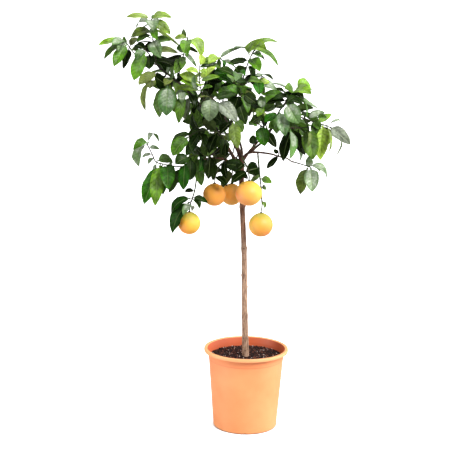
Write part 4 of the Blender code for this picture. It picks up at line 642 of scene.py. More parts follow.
# Leaf colours, each under the letter that stands for it below; k is near black, a painted shade for leaves
# deep in the crown
TONES = {
    "k": (0.005, 0.013, 0.001),
    "d": (0.014, 0.040, 0.0025),
    "m": (0.058, 0.138, 0.010),
    "g": (0.088, 0.215, 0.012),
    "b": (0.200, 0.340, 0.022),
    "y": (0.330, 0.530, 0.050),
    "o": (0.130, 0.185, 0.030),
    "a": (0.100, 0.115, 0.065),
    "p": (0.115, 0.215, 0.070),
    "s": (0.040, 0.120, 0.022),
    "w": (0.105, 0.140, 0.085),
    "v": (0.030, 0.150, 0.004),
    "f": (0.105, 0.250, 0.008),
    "e": (0.008, 0.055, 0.001),
}
# Sheen of each kind of leaf, where it isn't the usual share: a painted highlight, pale in the middle of its
# blade, that also raises its real gloss
SHEEN_AMOUNTS = {
    "w": 0.48, "p": 0.75, "a": 0.5, "g": 0.14, "b": 0.2, "y": 0.1,
    "k": 0.0, "d": 0.04, "s": 0.5, "v": 0.06, "f": 0.06, "e": 0.02,
}
USUAL_SHEEN_AMOUNT = 0.10
PAINTED_SHEEN_COLOR = (0.56, 0.62, 0.50, 1)
# The colour letters of each stem's leaves, in the order of its rows
LEAF_TONES = {
    "crest_left": "bbmpbppommdopmogk",
    "far_left": "bpmgpmkogo",
    "left_droop": "sgdkod",
    "left_under": "ooo",
    "limb_shade": "kkkkpd",
    "left_front": "smoop",
    "left_mid": "pmakp",
    "crest_second": "bbbggogkpmpm",
    "spark": "yybbybpgykby",
    "crest_third": "bvpbgpvbdgp",
    "mid_shoulder": "mvdpvgd",
    "crest_mid": "bbgdpgdpmpb",
    "mid_right": "dgpdvbpogm",
    "crest_right": "bbdgkpdppmmdgkd",
    "right_front": "psgkvdmg",
    "far_right": "wpooybmmgbmdmkp",
    "right_hang": "kpkkgopkp",
    "low_right": "opppm",
    "low_right_bud": "kk",
    "right_inner": "vkmd",
    "crotch_right": "d",
    "centre_front": "wwkdo",
    "centre_shoulder": "dgkdg",
    "centre_low": "mok",
    "inner_right": "bkmpmdd",
    "left_mass": "dmdkkkd",
    "low_left_mass": "dedmed",
    "inner_low": "kkk",
    "crotch_left": "kdk",
    "crotch_low": "kk",
    "behind_trunk": "kkkk",
    "low_left": "pmppppmsvfveegd",
    "fruit_twig_left": "eedmkpp",
    "fruit_twig_right": "kmgmo",
    "fruit_twig_front": "kk",
    "fruit_twig_middle": "kk",
    "fruit_twig_back": "k",
}
# Letters for the leaves that the front view hides, those inside the crown mostly near black as painted shade,
# and how much each colour and fold may stray
INNER_SHADE_TONES = "kkkdd"
BACK_TONES = "ddmmgo"
TONE_SPREAD = (0.75, 1.3)
PURITY_SPREAD = (0.5, 1.35)
FOLD_SPREAD = (0.8, 1.9)

# Peel of each fruit: its three colours, the way from the last to the first, and how green the stalk end is
# On the left and front fruit the lighter, yellower end faces the key light, partly their own colour and
# partly a painted highlight
PEELS = {
    "grapefruit_left": ((0.95, 0.60, 0.07), (0.95, 0.50, 0.055), (0.92, 0.30, 0.030), (0.6, 0, 0.8), 0.8),
    "grapefruit_middle": ((0.95, 0.42, 0.055), (0.95, 0.39, 0.05), (0.95, 0.38, 0.065), (0, 0, 1), 0.0),
    "grapefruit_back": ((0.98, 0.44, 0.06), (0.98, 0.44, 0.06), (0.98, 0.47, 0.08), (0, 0, 1), 0.0),
    "grapefruit_front": ((0.96, 0.66, 0.09), (0.96, 0.47, 0.08), (0.95, 0.33, 0.10), (0.9, 0, 0.7), 0.15),
    "grapefruit_right": ((0.84, 0.56, 0.085), (0.93, 0.44, 0.06), (0.93, 0.31, 0.05), (-0.5, 0, 1), 0.75),
}
PEEL_GREEN = (0.36, 0.38, 0.05, 1)
PEEL_DEPTH = (0.030, 0.016, 0.005)
PEEL_DOTS = (0.75, 0.38, 0.05, 1)

# More leaf colours
LEAF_GLOSS = (0.85, 1.0, 0.5, 1)
MIDRIB_PALE = (0.42, 0.55, 0.20, 1)
UNDERSIDE = (0.28, 0.40, 0.12, 1)

# Green and brown of a twig, each as (scale of its flecks, dark, light)
TWIG_COLORS = (
    (160.0, (0.022, 0.036, 0.009, 1), (0.060, 0.085, 0.025, 1)),
    (210.0, (0.022, 0.013, 0.008, 1), (0.060, 0.036, 0.022, 1)),
)

# Bark low, high and on the limbs, each as rows of (place in the grain, colour), and the heights
# where one turns to the next
BARK_LOW = ((0.34, (0.10, 0.050, 0.030)), (0.5, (0.34, 0.205, 0.13)), (0.66, (0.58, 0.38, 0.26)))
BARK_HIGH = ((0.32, (0.026, 0.010, 0.006)), (0.5, (0.12, 0.045, 0.024)), (0.68, (0.24, 0.11, 0.065)))
BARK_LIMB = ((0.32, (0.006, 0.004, 0.003)), (0.5, (0.024, 0.015, 0.010)), (0.68, (0.07, 0.045, 0.030)))
BARK_ASHEN = (0.40, 0.28, 0.20, 1)
BARK_SCARS = (0.075, 0.038, 0.025, 1)
BARK_PORES = (0.44, 0.34, 0.26, 1)
HIGH_BARK = (0.60, 1.05)
LIMB_BARK = (1.10, 1.20)
CROTCH = (0.9, 1.2)

# Pot colours, from the wall to the small parts; those after the scuff are painted shade and painted highlight
POT_WALL = ((0.3, (0.92, 0.32, 0.115)), (0.7, (0.96, 0.385, 0.15)))
POT_SCUFF = (0.97, 0.60, 0.38, 1)
# Painted shade inside the pot
POT_INSIDE_SHADE = (0.42, 0.048, 0.011, 1)
# Painted shade under the rim: on the wall from the shoulder height up, and a little more from the step up
POT_UPPER_SHADE = (0.92, 0.25, 0.10, 1)
POT_NECK_SHADE = (0.88, 0.20, 0.07, 1)
# Painted shadow in a thin line at the step
POT_STEP_SHADOW = (0.70, 0.14, 0.05, 1)
# Painted highlight on the outside of the rim
POT_RIM_HIGHLIGHT = (0.96, 0.45, 0.19, 1)
# Painted contact shadow along the foot
POT_FOOT_SHADOW = (0.14, 0.06, 0.035, 1)
POT_SHOULDER = 0.18

# Compost colours
PEAT = ((0.3, (0.004, 0.002, 0.002)), (0.7, (0.030, 0.015, 0.013)))
BARK_CHIP = (0.17, 0.060, 0.038, 1)
PALE_CHIP = (0.62, 0.50, 0.44, 1)

# Scales of the patterns: the larger, the finer
LEAF_DRIFT = 18.0
LEAF_CLOUDS = 35.0
LEAF_GLINTS = 45.0
LEAF_MOTTLE = 90.0
LEAF_PUCKER = 130.0
LEAF_GRAIN = 420.0
TWIG_PATCHES = 22.0
TWIG_GRAIN = 700.0
BARK_BLOTCHES = 45.0
BARK_FIBRES = 260.0
SCAR_CELLS = 60.0
PORE_CELLS = 170.0
PEEL_CLOUDS = 28.0
PEEL_PORES = 520.0
POT_CLOUDS = 9.0
POT_SCUFFS = 140.0
POT_GRAIN = 900.0
PEAT_CLOUDS = 240.0
PEAT_GRAIN = 900.0

# Camera
SENSOR = 36
PHOTO_WIDTH = 450
LENS_PIXELS = 1281
CAMERA_DIP = 11.3
CAMERA_ROLL = 0.8

# Floor: what the camera sees and what lights the tree, and where the pot shades it
FLOOR_REACH = 90
FLOOR_SEEN = (0.95, 0.95, 0.95, 1)
FLOOR_BOUNCE = (0.36, 0.36, 0.36, 1)
FLOOR_GLOW = 0.6
POT_SHADE = (FOOT_RADIUS + 2 * MM, FOOT_RADIUS + 12 * MM)
UNDER_POT = (FOOT_RADIUS - 2 * MM, FOOT_RADIUS + 4 * MM)
FLOOR_SHADED = (0.04, 0.04, 0.035, 1)

# Light: the room's own, and broad suns as (name, where from, spread in degrees, strength)
ROOM_LIGHT = 0.07
SUNS = (
    ("key_light", (0.70, -0.72, 0.90), 34, 4.1),
    ("fill_light", (-0.95, -0.4, 0.5), 40, 1.0),
    ("top_light", (-0.1, 0.4, 1.0), 50, 1.3),
    ("back_light", (1.0, 0.3, 0.45), 40, 1.7),
)
# Panels beside the pot, each as (name, place, what it faces, width, watts)
PANELS = (
    ("left_panel", (-1.3, -0.55, 0.25), (0, 0, 0.15), 0.7, 10),
    ("right_panel", (1.2, -0.35, 0.35), (0, 0, 0.15), 0.7, 4),
)


def seen(point):
    """The place of a front view point (across, height, depth) in cm, on its sight line."""
    across, height, depth = point
    flat = Vector((across * CM, 0, height * CM))
    reach = (depth * CM - EYE.y) / -EYE.y
    return EYE + (flat - EYE) * reach


def smooth_path(points, step):
    """Points about a step apart on a smooth curve through the given ones."""
    padded = [points[0] * 2 - points[1], *points, points[-1] * 2 - points[-2]]
    path = [points[0]]
    for a, b, c, d in zip(padded, padded[1:], padded[2:], padded[3:]):
        count = max(1, round((c - b).length / step))
        for i in range(1, count + 1):
            t = i / count
            bow = (c - a) * t + (2 * a - 5 * b + 4 * c - d) * t * t + (3 * b - 3 * c + d - a) * t ** 3
            path.append(b + 0.5 * bow)
    return path


def path_length(path):
    return sum((b - a).length for a, b in zip(path, path[1:]))


def along(path, distance):
    """The point and direction at this distance from the start of a path."""
    for a, b in zip(path, path[1:]):
        length = (b - a).length
        if distance <= length:
            return a + (b - a) * (distance / length), (b - a).normalized()
        distance -= length
    return path[-1].copy(), (path[-1] - path[-2]).normalized()


def blend(values, share):
    """The value at a share of an evenly spaced row of values."""
    place = share * (len(values) - 1)
    low = min(int(place), len(values) - 2)
    return values[low] + (values[low + 1] - values[low]) * (place - low)


def even_radii(values, path):
    """A radius for each point of a path, in metres, from an evenly spaced row in millimetres."""
    return [blend(values, i / (len(path) - 1)) * MM for i in range(len(path))]


def ring_faces(rings, sides):
    """Faces that join rings of vertices, each to the next, and close both ends."""
    faces = []
    for low in range(0, (rings - 1) * sides, sides):
        for k in range(sides):
            n = (k + 1) % sides
            faces.append((low + k, low + n, low + sides + n, low + sides + k))
    faces.append(tuple(reversed(range(sides))))
    faces.append(tuple(range((rings - 1) * sides, rings * sides)))
    return faces


def tube(path, radii, sides):
    """Vertices and faces of a closed round tube along a path."""
    ways = [(b - a).normalized() for a, b in zip(path, path[1:])]
    ways = [ways[0]] + [(a + b).normalized() for a, b in zip(ways, ways[1:])] + [ways[-1]]
    side = ways[0].orthogonal().normalized()
    verts = []
    for point, way, radius in zip(path, ways, radii):
        side = (side - way * side.dot(way)).normalized()
        other = way.cross(side)
        for k in range(sides):
            angle = 2 * math.pi * k / sides
            verts.append(point + (side * math.cos(angle) + other * math.sin(angle)) * radius)
    return verts, ring_faces(len(path), sides)


class Leaf:
    """A folded, arched blade on a thin stalk, built of rings that run round its axis."""

    def __init__(self, base, tip, width, faces, arch, roll):
        self.base, self.tip, self.half = base, tip, width / 2
        chord = tip - base
        axis = chord.normalized()
        wanted = sum((FACES[letter] for letter in faces.lower()), Vector())
        normal = wanted - axis * wanted.dot(axis)
        if normal.length < LEAST_NORMAL:
            normal = axis.orthogonal()
        normal = (Matrix.Rotation(roll, 3, axis) @ normal).normalized()
        self.bend = base + chord * BEND_AT + normal * (2 * arch * chord.length)
        self.side = axis.cross(normal).normalized()
        self.midrib_half = YOUNG_MIDRIB_HALF if faces.isupper() else MIDRIB_HALF

    def point(self, u):
        return self.base * (1 - u) ** 2 + self.bend * (2 * u * (1 - u)) + self.tip * u * u

    def up(self, u):
        way = (self.bend - self.base) * (1 - u) + (self.tip - self.bend) * u
        return self.side.cross(way).normalized()

    def stalk_ring(self, u, swell):
        middle, up = self.point(u), self.up(u)
        radius = PETIOLE_RADIUS + swell
        return [middle + (self.side * across + up * rise) * radius for across, rise in PETIOLE_RING]

    def blade_ring(self, u, share, wave, swell):
        """Left edge, midrib top, right edge and underside, with the edges raised and one waved up."""
        middle, up = self.point(u), self.up(u)
        half = self.half * share
        thick = self.midrib_half + swell
        rise, ripple = half * FOLD, half * WAVE * wave
        return [
            middle - self.side * (half + swell) + up * (rise + ripple),
            middle + up * thick,
            middle + self.side * (half + swell) + up * (rise - ripple),
            middle - up * thick,
        ]

    def petiole(self, swell=0.0):
        """The stalk, as far as the blade."""
        verts = self.stalk_ring(0, swell) + self.stalk_ring(PETIOLE_END, swell)
        return verts, [*ROOT_CAP, *STALK_BAND, *END_CAP]

    def blade(self, swell=0.0):
        """The blade. Swollen, it is the clear space that it keeps round itself."""
        verts = self.stalk_ring(PETIOLE_END, swell)
        faces = [*ROOT_CAP, *WIDENING_BAND]
        for i, (u, share, wave) in enumerate(BLADE_STATIONS):
            if i:
                faces += shifted(BLADE_BAND, len(verts) - BLADE_SIDES)
            verts += self.blade_ring(u, share, wave, swell)
        verts.append(self.tip + (self.tip - self.bend).normalized() * swell)
        faces += shifted(TIP_CAP, len(verts) - 1 - BLADE_SIDES)
        return verts, faces


# Triangles between two rings, as places in the first and then the next, alike on both sides of the blade
BLADE_SIDES = 4
ROOT_CAP = ((0, 2, 1),)
END_CAP = ((3, 4, 5),)
STALK_BAND = ((0, 1, 4), (0, 4, 3), (1, 2, 5), (1, 5, 4), (2, 0, 3), (2, 3, 5))
WIDENING_BAND = ((0, 1, 4), (1, 5, 4), (0, 4, 3), (1, 2, 5), (2, 6, 5), (2, 0, 3), (2, 3, 6))
BLADE_BAND = ((0, 1, 4), (1, 5, 4), (1, 2, 6), (1, 6, 5), (2, 3, 6), (3, 7, 6), (3, 0, 4), (3, 4, 7))
TIP_CAP = ((0, 1, 4), (1, 2, 4), (2, 3, 4), (3, 0, 4))


def shifted(faces, start):
    return [tuple(start + i for i in face) for face in faces]


def box_of(verts):
    """The lowest and highest corners of a shape's box."""
    return [min(v[i] for v in verts) for i in range(3)], [max(v[i] for v in verts) for i in range(3)]


class Crown:
    """What is placed so far, so that what comes next can be bent clear of it."""

    def __init__(self):
        self.kept = []

    def keep(self, owner, verts, faces):
        self.kept.append((owner, *box_of(verts), BVHTree.FromPolygons(verts, faces)))

    def crossed(self, verts, faces, skip=()):
        """Whether this shape crosses a kept one, apart from those of the owners to skip."""
        low, high = box_of(verts)
        shape = None
        for owner, other_low, other_high, other in self.kept:
            if owner in skip or any(low[i] > other_high[i] or high[i] < other_low[i] for i in range(3)):
                continue
            shape = shape or BVHTree.FromPolygons(verts, faces)
            if shape.overlap(other):
                return True
        return False


def place_leaf(crown, spray, base, tip_at, width, faces, arch):
    """The leaf in its first nudged place that is clear of everything, or None."""
    own_stem = spray + " stem"
    for shift, roll in NUDGES:
        leaf = Leaf(base, tip_at(shift), width * CM, faces, arch, math.radians(roll))
        if crown.crossed(*leaf.blade(CLEAR)) or crown.crossed(*leaf.petiole(CLEAR), skip=(own_stem,)):
            continue
        crown.keep(spray, *leaf.blade())
        crown.keep(own_stem, *leaf.petiole())
        return leaf
    return None


def free_root(path, share, taken):
    """The distance along a stem nearest below this share of it that no other leaf has."""
    distance = min(share * path_length(path), path_length(path) - ROOT_DEPTH)
    while any(abs(distance - other) < ROOT_SPACING for other in taken) and distance > 2 * ROOT_SPACING:
        distance -= ROOT_SPACING / 4
    taken.append(distance)
    return distance


def read_leaves(crown, spray, path, rows, taken):
    """The leaves that show in the front view, each with its tip where it shows."""
    placed = []
    for share, across, height, depth, width, faces, arch in rows:
        base = along(path, free_root(path, share, taken))[0]

        def tip_at(shift, across=across, height=height, depth=depth):
            return seen((across, height, depth + shift))

        placed.append(place_leaf(crown, spray, base, tip_at, width, faces, arch))
    return placed


def spiral_leaves(crown, spray, path, count, taken):
    """Drooping leaves that follow one another in a spiral round a stem."""
    rng = random.Random(spray)
    turn = rng.uniform(0, 2 * math.pi)
    placed = []
    for i in range(count):
        share = BACK_LEAF_START + (1 - BACK_LEAF_START) * i / (count - 1)
        base, way = along(path, free_root(path, share, taken))
        out = Matrix.Rotation(turn + i * GOLDEN_TURN, 3, way) @ way.orthogonal().normalized()
        spread = BACK_LEAF_SPREAD * (1.0 - BACK_LEAF_CLOSING * share)
        reach = way * math.cos(spread) + out * math.sin(spread)
        reach.z -= BACK_LEAF_DROOP * rng.uniform(*BACK_DROOP_SPREAD)
        size = rng.uniform(*BACK_LEAF_LENGTH)
        faces = "u" + ("r" if reach.x > 0 else "l") + ("b" if reach.y > 0 else "f")

        def tip_at(shift, base=base, reach=reach, size=size):
            swing = Matrix.Rotation(math.radians(shift * SWING), 3, "Z")
            return base + swing @ reach.normalized() * (size * CM)

        width = size * BACK_LEAF_WIDTH_SHARE
        placed.append(place_leaf(crown, spray, base, tip_at, width, faces, BACK_LEAF_ARCH))
    return placed


def fill_leaves(crown, stems, leaves, taken):
    """More leaves on any stem near enough, with their tips spread through the ranges of the fills."""
    rng = random.Random("fill")
    nearest, furthest = FILL_REACH
    perches = []
    for name, path in stems.items():
        count = int(path_length(path) / PERCH_STEP)
        perches += [(name, i * PERCH_STEP, along(path, i * PERCH_STEP)[0]) for i in range(1, count)]
    for across, height, depth, count in FILLS:
        wanted = count
        for _ in range(count * FILL_TRIES):
            tip = seen([rng.uniform(*span) for span in (across, height, depth)])
            near = [
                (name, distance, base) for name, distance, base in perches
                if nearest < (tip - base).length < furthest and tip.z < base.z + FILL_RISE
                and all(abs(distance - other) > ROOT_SPACING for other in taken[name])
            ]
            if not near or not wanted:
                continue
            name, distance, base = rng.choice(near)
            width = (tip - base).length / CM * rng.uniform(*FILL_WIDTH_SHARE)
            faces = rng.choice(FILL_FACES)
            leaf = place_leaf(crown, name, base, lambda shift: tip, width, faces, rng.uniform(*FILL_ARCH))
            if leaf:
                leaves[name].append(leaf)
                taken[name].append(distance)
                wanted -= 1


def nearest_between(a, b, point):
    """The point of the line from a to b that is nearest."""
    way = b - a
    share = max(0.0, min(1.0, (point - a).dot(way) / way.length_squared))
    return a + way * share


def nearest_on_path(path, point):
    near = [nearest_between(a, b, point) for a, b in zip(path, path[1:])]
    return min(near, key=lambda p: (p - point).length)


def nearest_on_limbs(point, limbs):
    """The nearest point of the limbs' axes, with the direction and radius there."""
    found = []
    for path, radii in limbs:
        for a, b, radius in zip(path, path[1:], radii):
            near = nearest_between(a, b, point)
            found.append(((near - point).length, near, (b - a).normalized(), radius))
    return min(found, key=lambda f: f[0])[1:]


def plant_stem(points, limbs):
    """The path of a limb's short spur, and of the stem that stands off the spur's flat end."""
    path = smooth_path(points, STEM_STEP)
    start, limb_way, radius = nearest_on_limbs(path[0], limbs)
    way = (path[1] - start).normalized()
    foot = start + way * (radius / max(LEAST_SLANT, way.cross(limb_way).length) + SPUR_LENGTH)
    lead = foot + way * STEM_LEAD
    rest = path[1:]
    while len(rest) > 1 and (rest[0] - lead).dot(way) < STEM_STEP / 3:
        rest.pop(0)
    return [start, foot], [foot + way * GAP, lead, *rest]


def fruit_top(fruit):
    place, width, height_share = FRUITS[fruit]
    return seen(place) + Vector((0, 0, width * CM / 2 * height_share * (1 + FRUIT_NECK)))


class Nodes:
    """Adds nodes to a tree. An input that is a socket is linked, and any other value is set on its socket."""

    def __init__(self, tree):
        self.tree = tree

    def add(self, kind, inputs=None, out=0, **settings):
        node = self.tree.nodes.new(kind)
        for name, value in settings.items():
            setattr(node, name, value)
        for key, value in (inputs or {}).items():
            if isinstance(value, bpy.types.NodeSocket):
                self.tree.links.new(value, node.inputs[key])
            else:
                node.inputs[key].default_value = value
        return node.outputs[out]

    def math(self, operation, *values):
        return self.add("ShaderNodeMath", dict(enumerate(values)), operation=operation)

    def vector(self, operation, *values):
        return self.add("ShaderNodeVectorMath", dict(enumerate(values)), operation=operation)

    def chain(self, operation, values):
        """One value from several, each taken into what the ones before it gave."""
        result = values[0]
        for value in values[1:]:
            result = self.math(operation, result, value)
        return result

    def plus(self, *values):
        return self.chain("ADD", values)

    def times(self, *values):
        return self.chain("MULTIPLY", values)

    def minus(self, value, less):
        return self.math("SUBTRACT", value, less)

    def scaled(self, vector, factor):
        return self.add("ShaderNodeVectorMath", {0: vector, 3: factor}, operation="SCALE")

    def total(self, *vectors):
        result = vectors[0]
        for other in vectors[1:]:
            result = self.vector("ADD", result, other)
        return result

    def parts(self, vector):
        node = self.add("ShaderNodeSeparateXYZ", {0: vector}).node
        return node.outputs[0], node.outputs[1], node.outputs[2]

    def between(self, value, low, high, to_low=0.0, to_high=1.0):
        """A smooth step from to_low at low to to_high at high."""
        places = {0: value, 1: low, 2: high, 3: to_low, 4: to_high}
        return self.add("ShaderNodeMapRange", places, interpolation_type="SMOOTHSTEP")

    def noise(self, place, scale, detail=2.0, roughness=0.5):
        inputs = {"Vector": place, "Scale": scale, "Detail": detail, "Roughness": roughness}
        return self.add("ShaderNodeTexNoise", inputs)


class Recipe(Nodes):
    """A Geometry Nodes tree with named inputs, which ends in Realize Instances and Set Material."""

    def __init__(self, name, **inputs):
        super().__init__(bpy.data.node_groups.new(name, "GeometryNodeTree"))
        self.tree.interface.new_socket("Geometry", in_out="INPUT", socket_type="NodeSocketGeometry")
        self.tree.interface.new_socket("Geometry", in_out="OUTPUT", socket_type="NodeSocketGeometry")
        self.keys = {}
        for label, kind in inputs.items():
            socket = self.tree.interface.new_socket(label, in_out="INPUT", socket_type="NodeSocket" + kind)
            self.keys[label] = socket.identifier
        self.given = self.tree.nodes.new("NodeGroupInput").outputs

    def attribute(self, name, kind="FLOAT"):
        return self.add("GeometryNodeInputNamedAttribute", {"Name": name}, data_type=kind)

    def shape_of(self, label):
        """The mesh of an object that is given as an input."""
        return self.add("GeometryNodeObjectInfo", {0: self.given[label]}, out="Geometry")

    def store(self, geometry, name, value):
        """Stores a value on each point."""
        inputs = {"Geometry": geometry, "Name": name, "Value": value}
        return self.add("GeometryNodeStoreNamedAttribute", inputs, data_type="FLOAT", domain="POINT")

    def random(self, low, high, seed):
        return self.add("FunctionNodeRandomValue", {2: low, 3: high, "Seed": seed}, out=1, data_type="FLOAT")

    def random_vector(self, low, high, seed):
        return self.add("FunctionNodeRandomValue", {0: low, 1: high, "Seed": seed}, data_type="FLOAT_VECTOR")

    def realized(self, points, shape, **more):
        """A shape on each point, as real mesh."""
        placed = {"Points": points, "Instance": shape, **more}
        return self.add("GeometryNodeRealizeInstances", {0: self.add("GeometryNodeInstanceOnPoints", placed)})

    def joined(self, *geometries):
        node = self.tree.nodes.new("GeometryNodeJoinGeometry")
        for geometry in geometries:
            self.tree.links.new(geometry, node.inputs[0])
        return node.outputs[0]

    def tube(self, lines, sides):
        """A closed tube round each line, as thick as the line's own attribute says."""
        curve = self.add("GeometryNodeMeshToCurve", {0: lines})
        ring = self.add("GeometryNodeCurvePrimitiveCircle", {"Resolution": sides, "Radius": 1.0})
        inputs = {"Curve": curve, "Profile Curve": ring, "Scale": self.attribute("thick"), "Fill Caps": True}
        return self.add("GeometryNodeCurveToMesh", inputs)

    def end(self, geometry, coat, woody=None):
        """The last nodes. Where there is a second finish, it goes on the woody faces."""
        result = self.add("GeometryNodeRealizeInstances", {0: geometry})
        result = self.add("GeometryNodeSetMaterial", {0: result, 2: self.given[coat]})
        if woody:
            choice = self.math("GREATER_THAN", self.attribute("woody"), 0.5)
            result = self.add("GeometryNodeSetMaterial", {0: result, 1: choice, 2: self.given[woody]})
        output = self.tree.nodes.new("NodeGroupOutput")
        self.tree.links.new(result, output.inputs[0])

    def make(self, obj, **values):
        """Runs the tree on an object, and keeps what it makes as the object's plain mesh."""
        modifier = obj.modifiers.new(self.tree.name, "NODES")
        modifier.node_group = self.tree
        for label, value in values.items():
            modifier[self.keys[label]] = value
        bake(obj)


def bake(obj):
    """Replaces the mesh by what its modifiers make of it."""
    bpy.context.view_layer.update()
    graph = bpy.context.evaluated_depsgraph_get()
    made = obj.evaluated_get(graph)
    mesh = bpy.data.meshes.new_from_object(made, preserve_all_data_layers=True, depsgraph=graph)
    obj.modifiers.clear()
    obj.data = mesh


def new_object(name, verts, edges=(), faces=()):
    mesh = bpy.data.meshes.new(name)
    mesh.from_pydata(verts, edges, faces)
    obj = bpy.data.objects.new(name, mesh)
    bpy.context.scene.collection.objects.link(obj)
    return obj


def set_attribute(obj, name, kind, values):
    """Stores one value for each vertex."""
    made = obj.data.attributes.new(name, kind, "POINT")
    field = {"FLOAT": "value", "FLOAT_VECTOR": "vector", "FLOAT_COLOR": "color"}[kind]
    flat = values if kind == "FLOAT" else [x for value in values for x in value]
    made.data.foreach_set(field, flat)


def dress(obj, slot, *nodes, crease=SHARP):
    """Smooths a finished piece and puts it in the place of its solids."""
    obj.data.shade_smooth()
    obj.data.set_sharp_from_angle(angle=crease)
    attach(obj, "root")
    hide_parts(*nodes)


def lines_object(name, lines):
    """One object of open lines, each a list of (point, thickness)."""
    verts, edges, thick = [], [], []
    for line in lines:
        start = len(verts)
        verts += [point for point, _ in line]
        thick += [radius for _, radius in line]
        edges += [(i, i + 1) for i in range(start, len(verts) - 1)]
    obj = new_object(name, verts, edges)
    set_attribute(obj, "thick", "FLOAT", thick)
    return obj


def turned(name, profile, segments):
    """A solid of revolution from (radius, height) points that start and end on the axis."""
    verts, faces, rows = [], [], []
    for radius, height in profile:
        count = segments if radius else 1
        rows.append(range(len(verts), len(verts) + count))
        for k in range(count):
            angle = 2 * math.pi * k / segments
            verts.append(Vector((radius * math.cos(angle), radius * math.sin(angle), height)))
    for low, high in zip(rows, rows[1:]):
        for k in range(segments):
            n = (k + 1) % segments
            if len(low) == 1:
                faces.append((low[0], high[n], high[k]))
            elif len(high) == 1:
                faces.append((low[k], low[n], high[0]))
            else:
                faces.append((low[k], low[n], high[n], high[k]))
    return new_object(name, verts, (), faces)


# Finishes


def finish(name, **values):
    """A new Principled material, and the helper that adds nodes to it."""
    made = bpy.data.materials.new(name)
    made.use_nodes = True
    shader = made.node_tree.nodes["Principled BSDF"]
    for label, value in values.items():
        shader.inputs[label.replace("_", " ")].default_value = value
    return made, Paint(made.node_tree, shader)


class Paint(Nodes):
    """The nodes of a material."""

    def __init__(self, tree, shader):
        super().__init__(tree)
        self.shader = shader

    def place(self, stretch=(1, 1, 1)):
        """Object coordinates, stretched."""
        spot = self.add("ShaderNodeTexCoord", out="Object")
        return self.add("ShaderNodeMapping", {"Vector": spot, "Scale": stretch})

    def attribute(self, name, out):
        return self.add("ShaderNodeAttribute", out=out, attribute_name=name)

    def cells(self, place, scale):
        """The distance from the middle of the nearest cell."""
        return self.add("ShaderNodeTexVoronoi", {"Vector": place, "Scale": scale}, out="Distance")

    def mix(self, share, a, b, blend="MIX"):
        return self.add("ShaderNodeMix", {0: share, 6: a, 7: b}, out=2, data_type="RGBA", blend_type=blend)

    def layered(self, color, *layers):
        """A colour with others over it, each as (share, colour)."""
        for share, layer in layers:
            color = self.mix(share, color, layer)
        return color

    def ramp(self, value, *stops):
        """A row of colours, each at its place from 0 to 1."""
        result = self.add("ShaderNodeValToRGB", {0: value})
        row = result.node.color_ramp.elements
        while len(row) < len(stops):
            row.new(1.0)
        for element, (place, color) in zip(row, stops):
            element.position = place
            element.color = (*color, 1)
        return result

    def relief(self, height, depth, strength):
        normal = self.add("ShaderNodeBump", {"Strength": strength, "Distance": depth, "Height": height})
        self.send("Normal", normal)

    def send(self, label, value):
        self.tree.links.new(value, self.shader.inputs[label])


def leaf_finish():
    """Glossy green with a pale midrib, side veins and a painted highlight in the middle, and a duller
    underside.
    """
    made, paint = finish("leaf_green", Specular_Tint=LEAF_GLOSS, Coat_Roughness=0.18)
    _, length, lift = paint.parts(paint.attribute("shape", "Vector"))
    edge = paint.math("ABSOLUTE", paint.attribute("edge", "Fac"))
    below = paint.math("LESS_THAN", lift, 0.0)
    tint = paint.attribute("tint", "Color")
    bloom = paint.attribute("bloom", "Fac")
    spot = paint.place()
    cloud = paint.noise(spot, LEAF_CLOUDS, 3.0)

    row = paint.minus(paint.times(length, VEINS), paint.times(edge, VEIN_LEAN))
    stripe = paint.math("PINGPONG", paint.plus(row, paint.times(cloud, VEIN_STRAY)), 0.5)
    side_vein = paint.between(stripe, 0.02, 0.14, 1.0, 0.0)
    midrib = paint.between(edge, 0.03, 0.10, 1.0, 0.0)
    vein = paint.math("MAXIMUM", paint.times(side_vein, 0.6), midrib)

    shade = paint.times(paint.between(cloud, 0.3, 0.7, 0.6, 1.4), paint.between(stripe, 0.0, 0.4, 0.82, 1.1))
    shades = paint.add("ShaderNodeCombineColor", {0: shade, 1: shade, 2: shade})
    drift = paint.between(paint.noise(spot, LEAF_DRIFT), 0.3, 0.7, -0.22, 0.22)
    # Painted highlight: a pale patch in the middle of the blade, mottled and broken by the veins
    painted_sheen = paint.times(
        paint.between(edge, 0.55, 0.9, 1.0, 0.1),
        paint.between(length, 0.12, 0.22),
        paint.between(paint.plus(length, drift), 0.55, 0.78, 1.0, 0.1),
        paint.between(paint.noise(spot, LEAF_MOTTLE, 3.0), 0.38, 0.6, 0.45, 1.0),
        paint.between(stripe, 0.0, 0.2, 0.78, 1.0),
        bloom,
    )
    color = paint.layered(
        paint.mix(1.0, tint, shades, "MULTIPLY"),
        (painted_sheen, PAINTED_SHEEN_COLOR),
        (paint.times(midrib, 0.5), paint.mix(0.4, tint, MIDRIB_PALE)),
        (below, paint.mix(0.14, tint, UNDERSIDE)),
    )
    paint.send("Base Color", color)
    rough = paint.between(cloud, 0.25, 0.75, 0.26, 0.40)
    paint.send("Roughness", paint.plus(rough, paint.times(below, 0.22)))
    paint.send("Specular IOR Level", paint.between(bloom, 0.0, 0.3, 0.06, 0.38))
    glint = paint.between(paint.noise(spot, LEAF_GLINTS, 3.0), 0.42, 0.62, 0.0, 0.30)
    paint.send("Coat Weight", paint.times(glint, paint.between(bloom, 0.0, 0.25, 0.35, 1.0)))

    fine = paint.times(paint.noise(spot, LEAF_GRAIN), 0.35)
    pucker = paint.times(paint.noise(spot, LEAF_PUCKER), 1.6)
    paint.relief(paint.plus(paint.times(vein, -1.0), fine, pucker), 0.0016, 0.9)
    return made


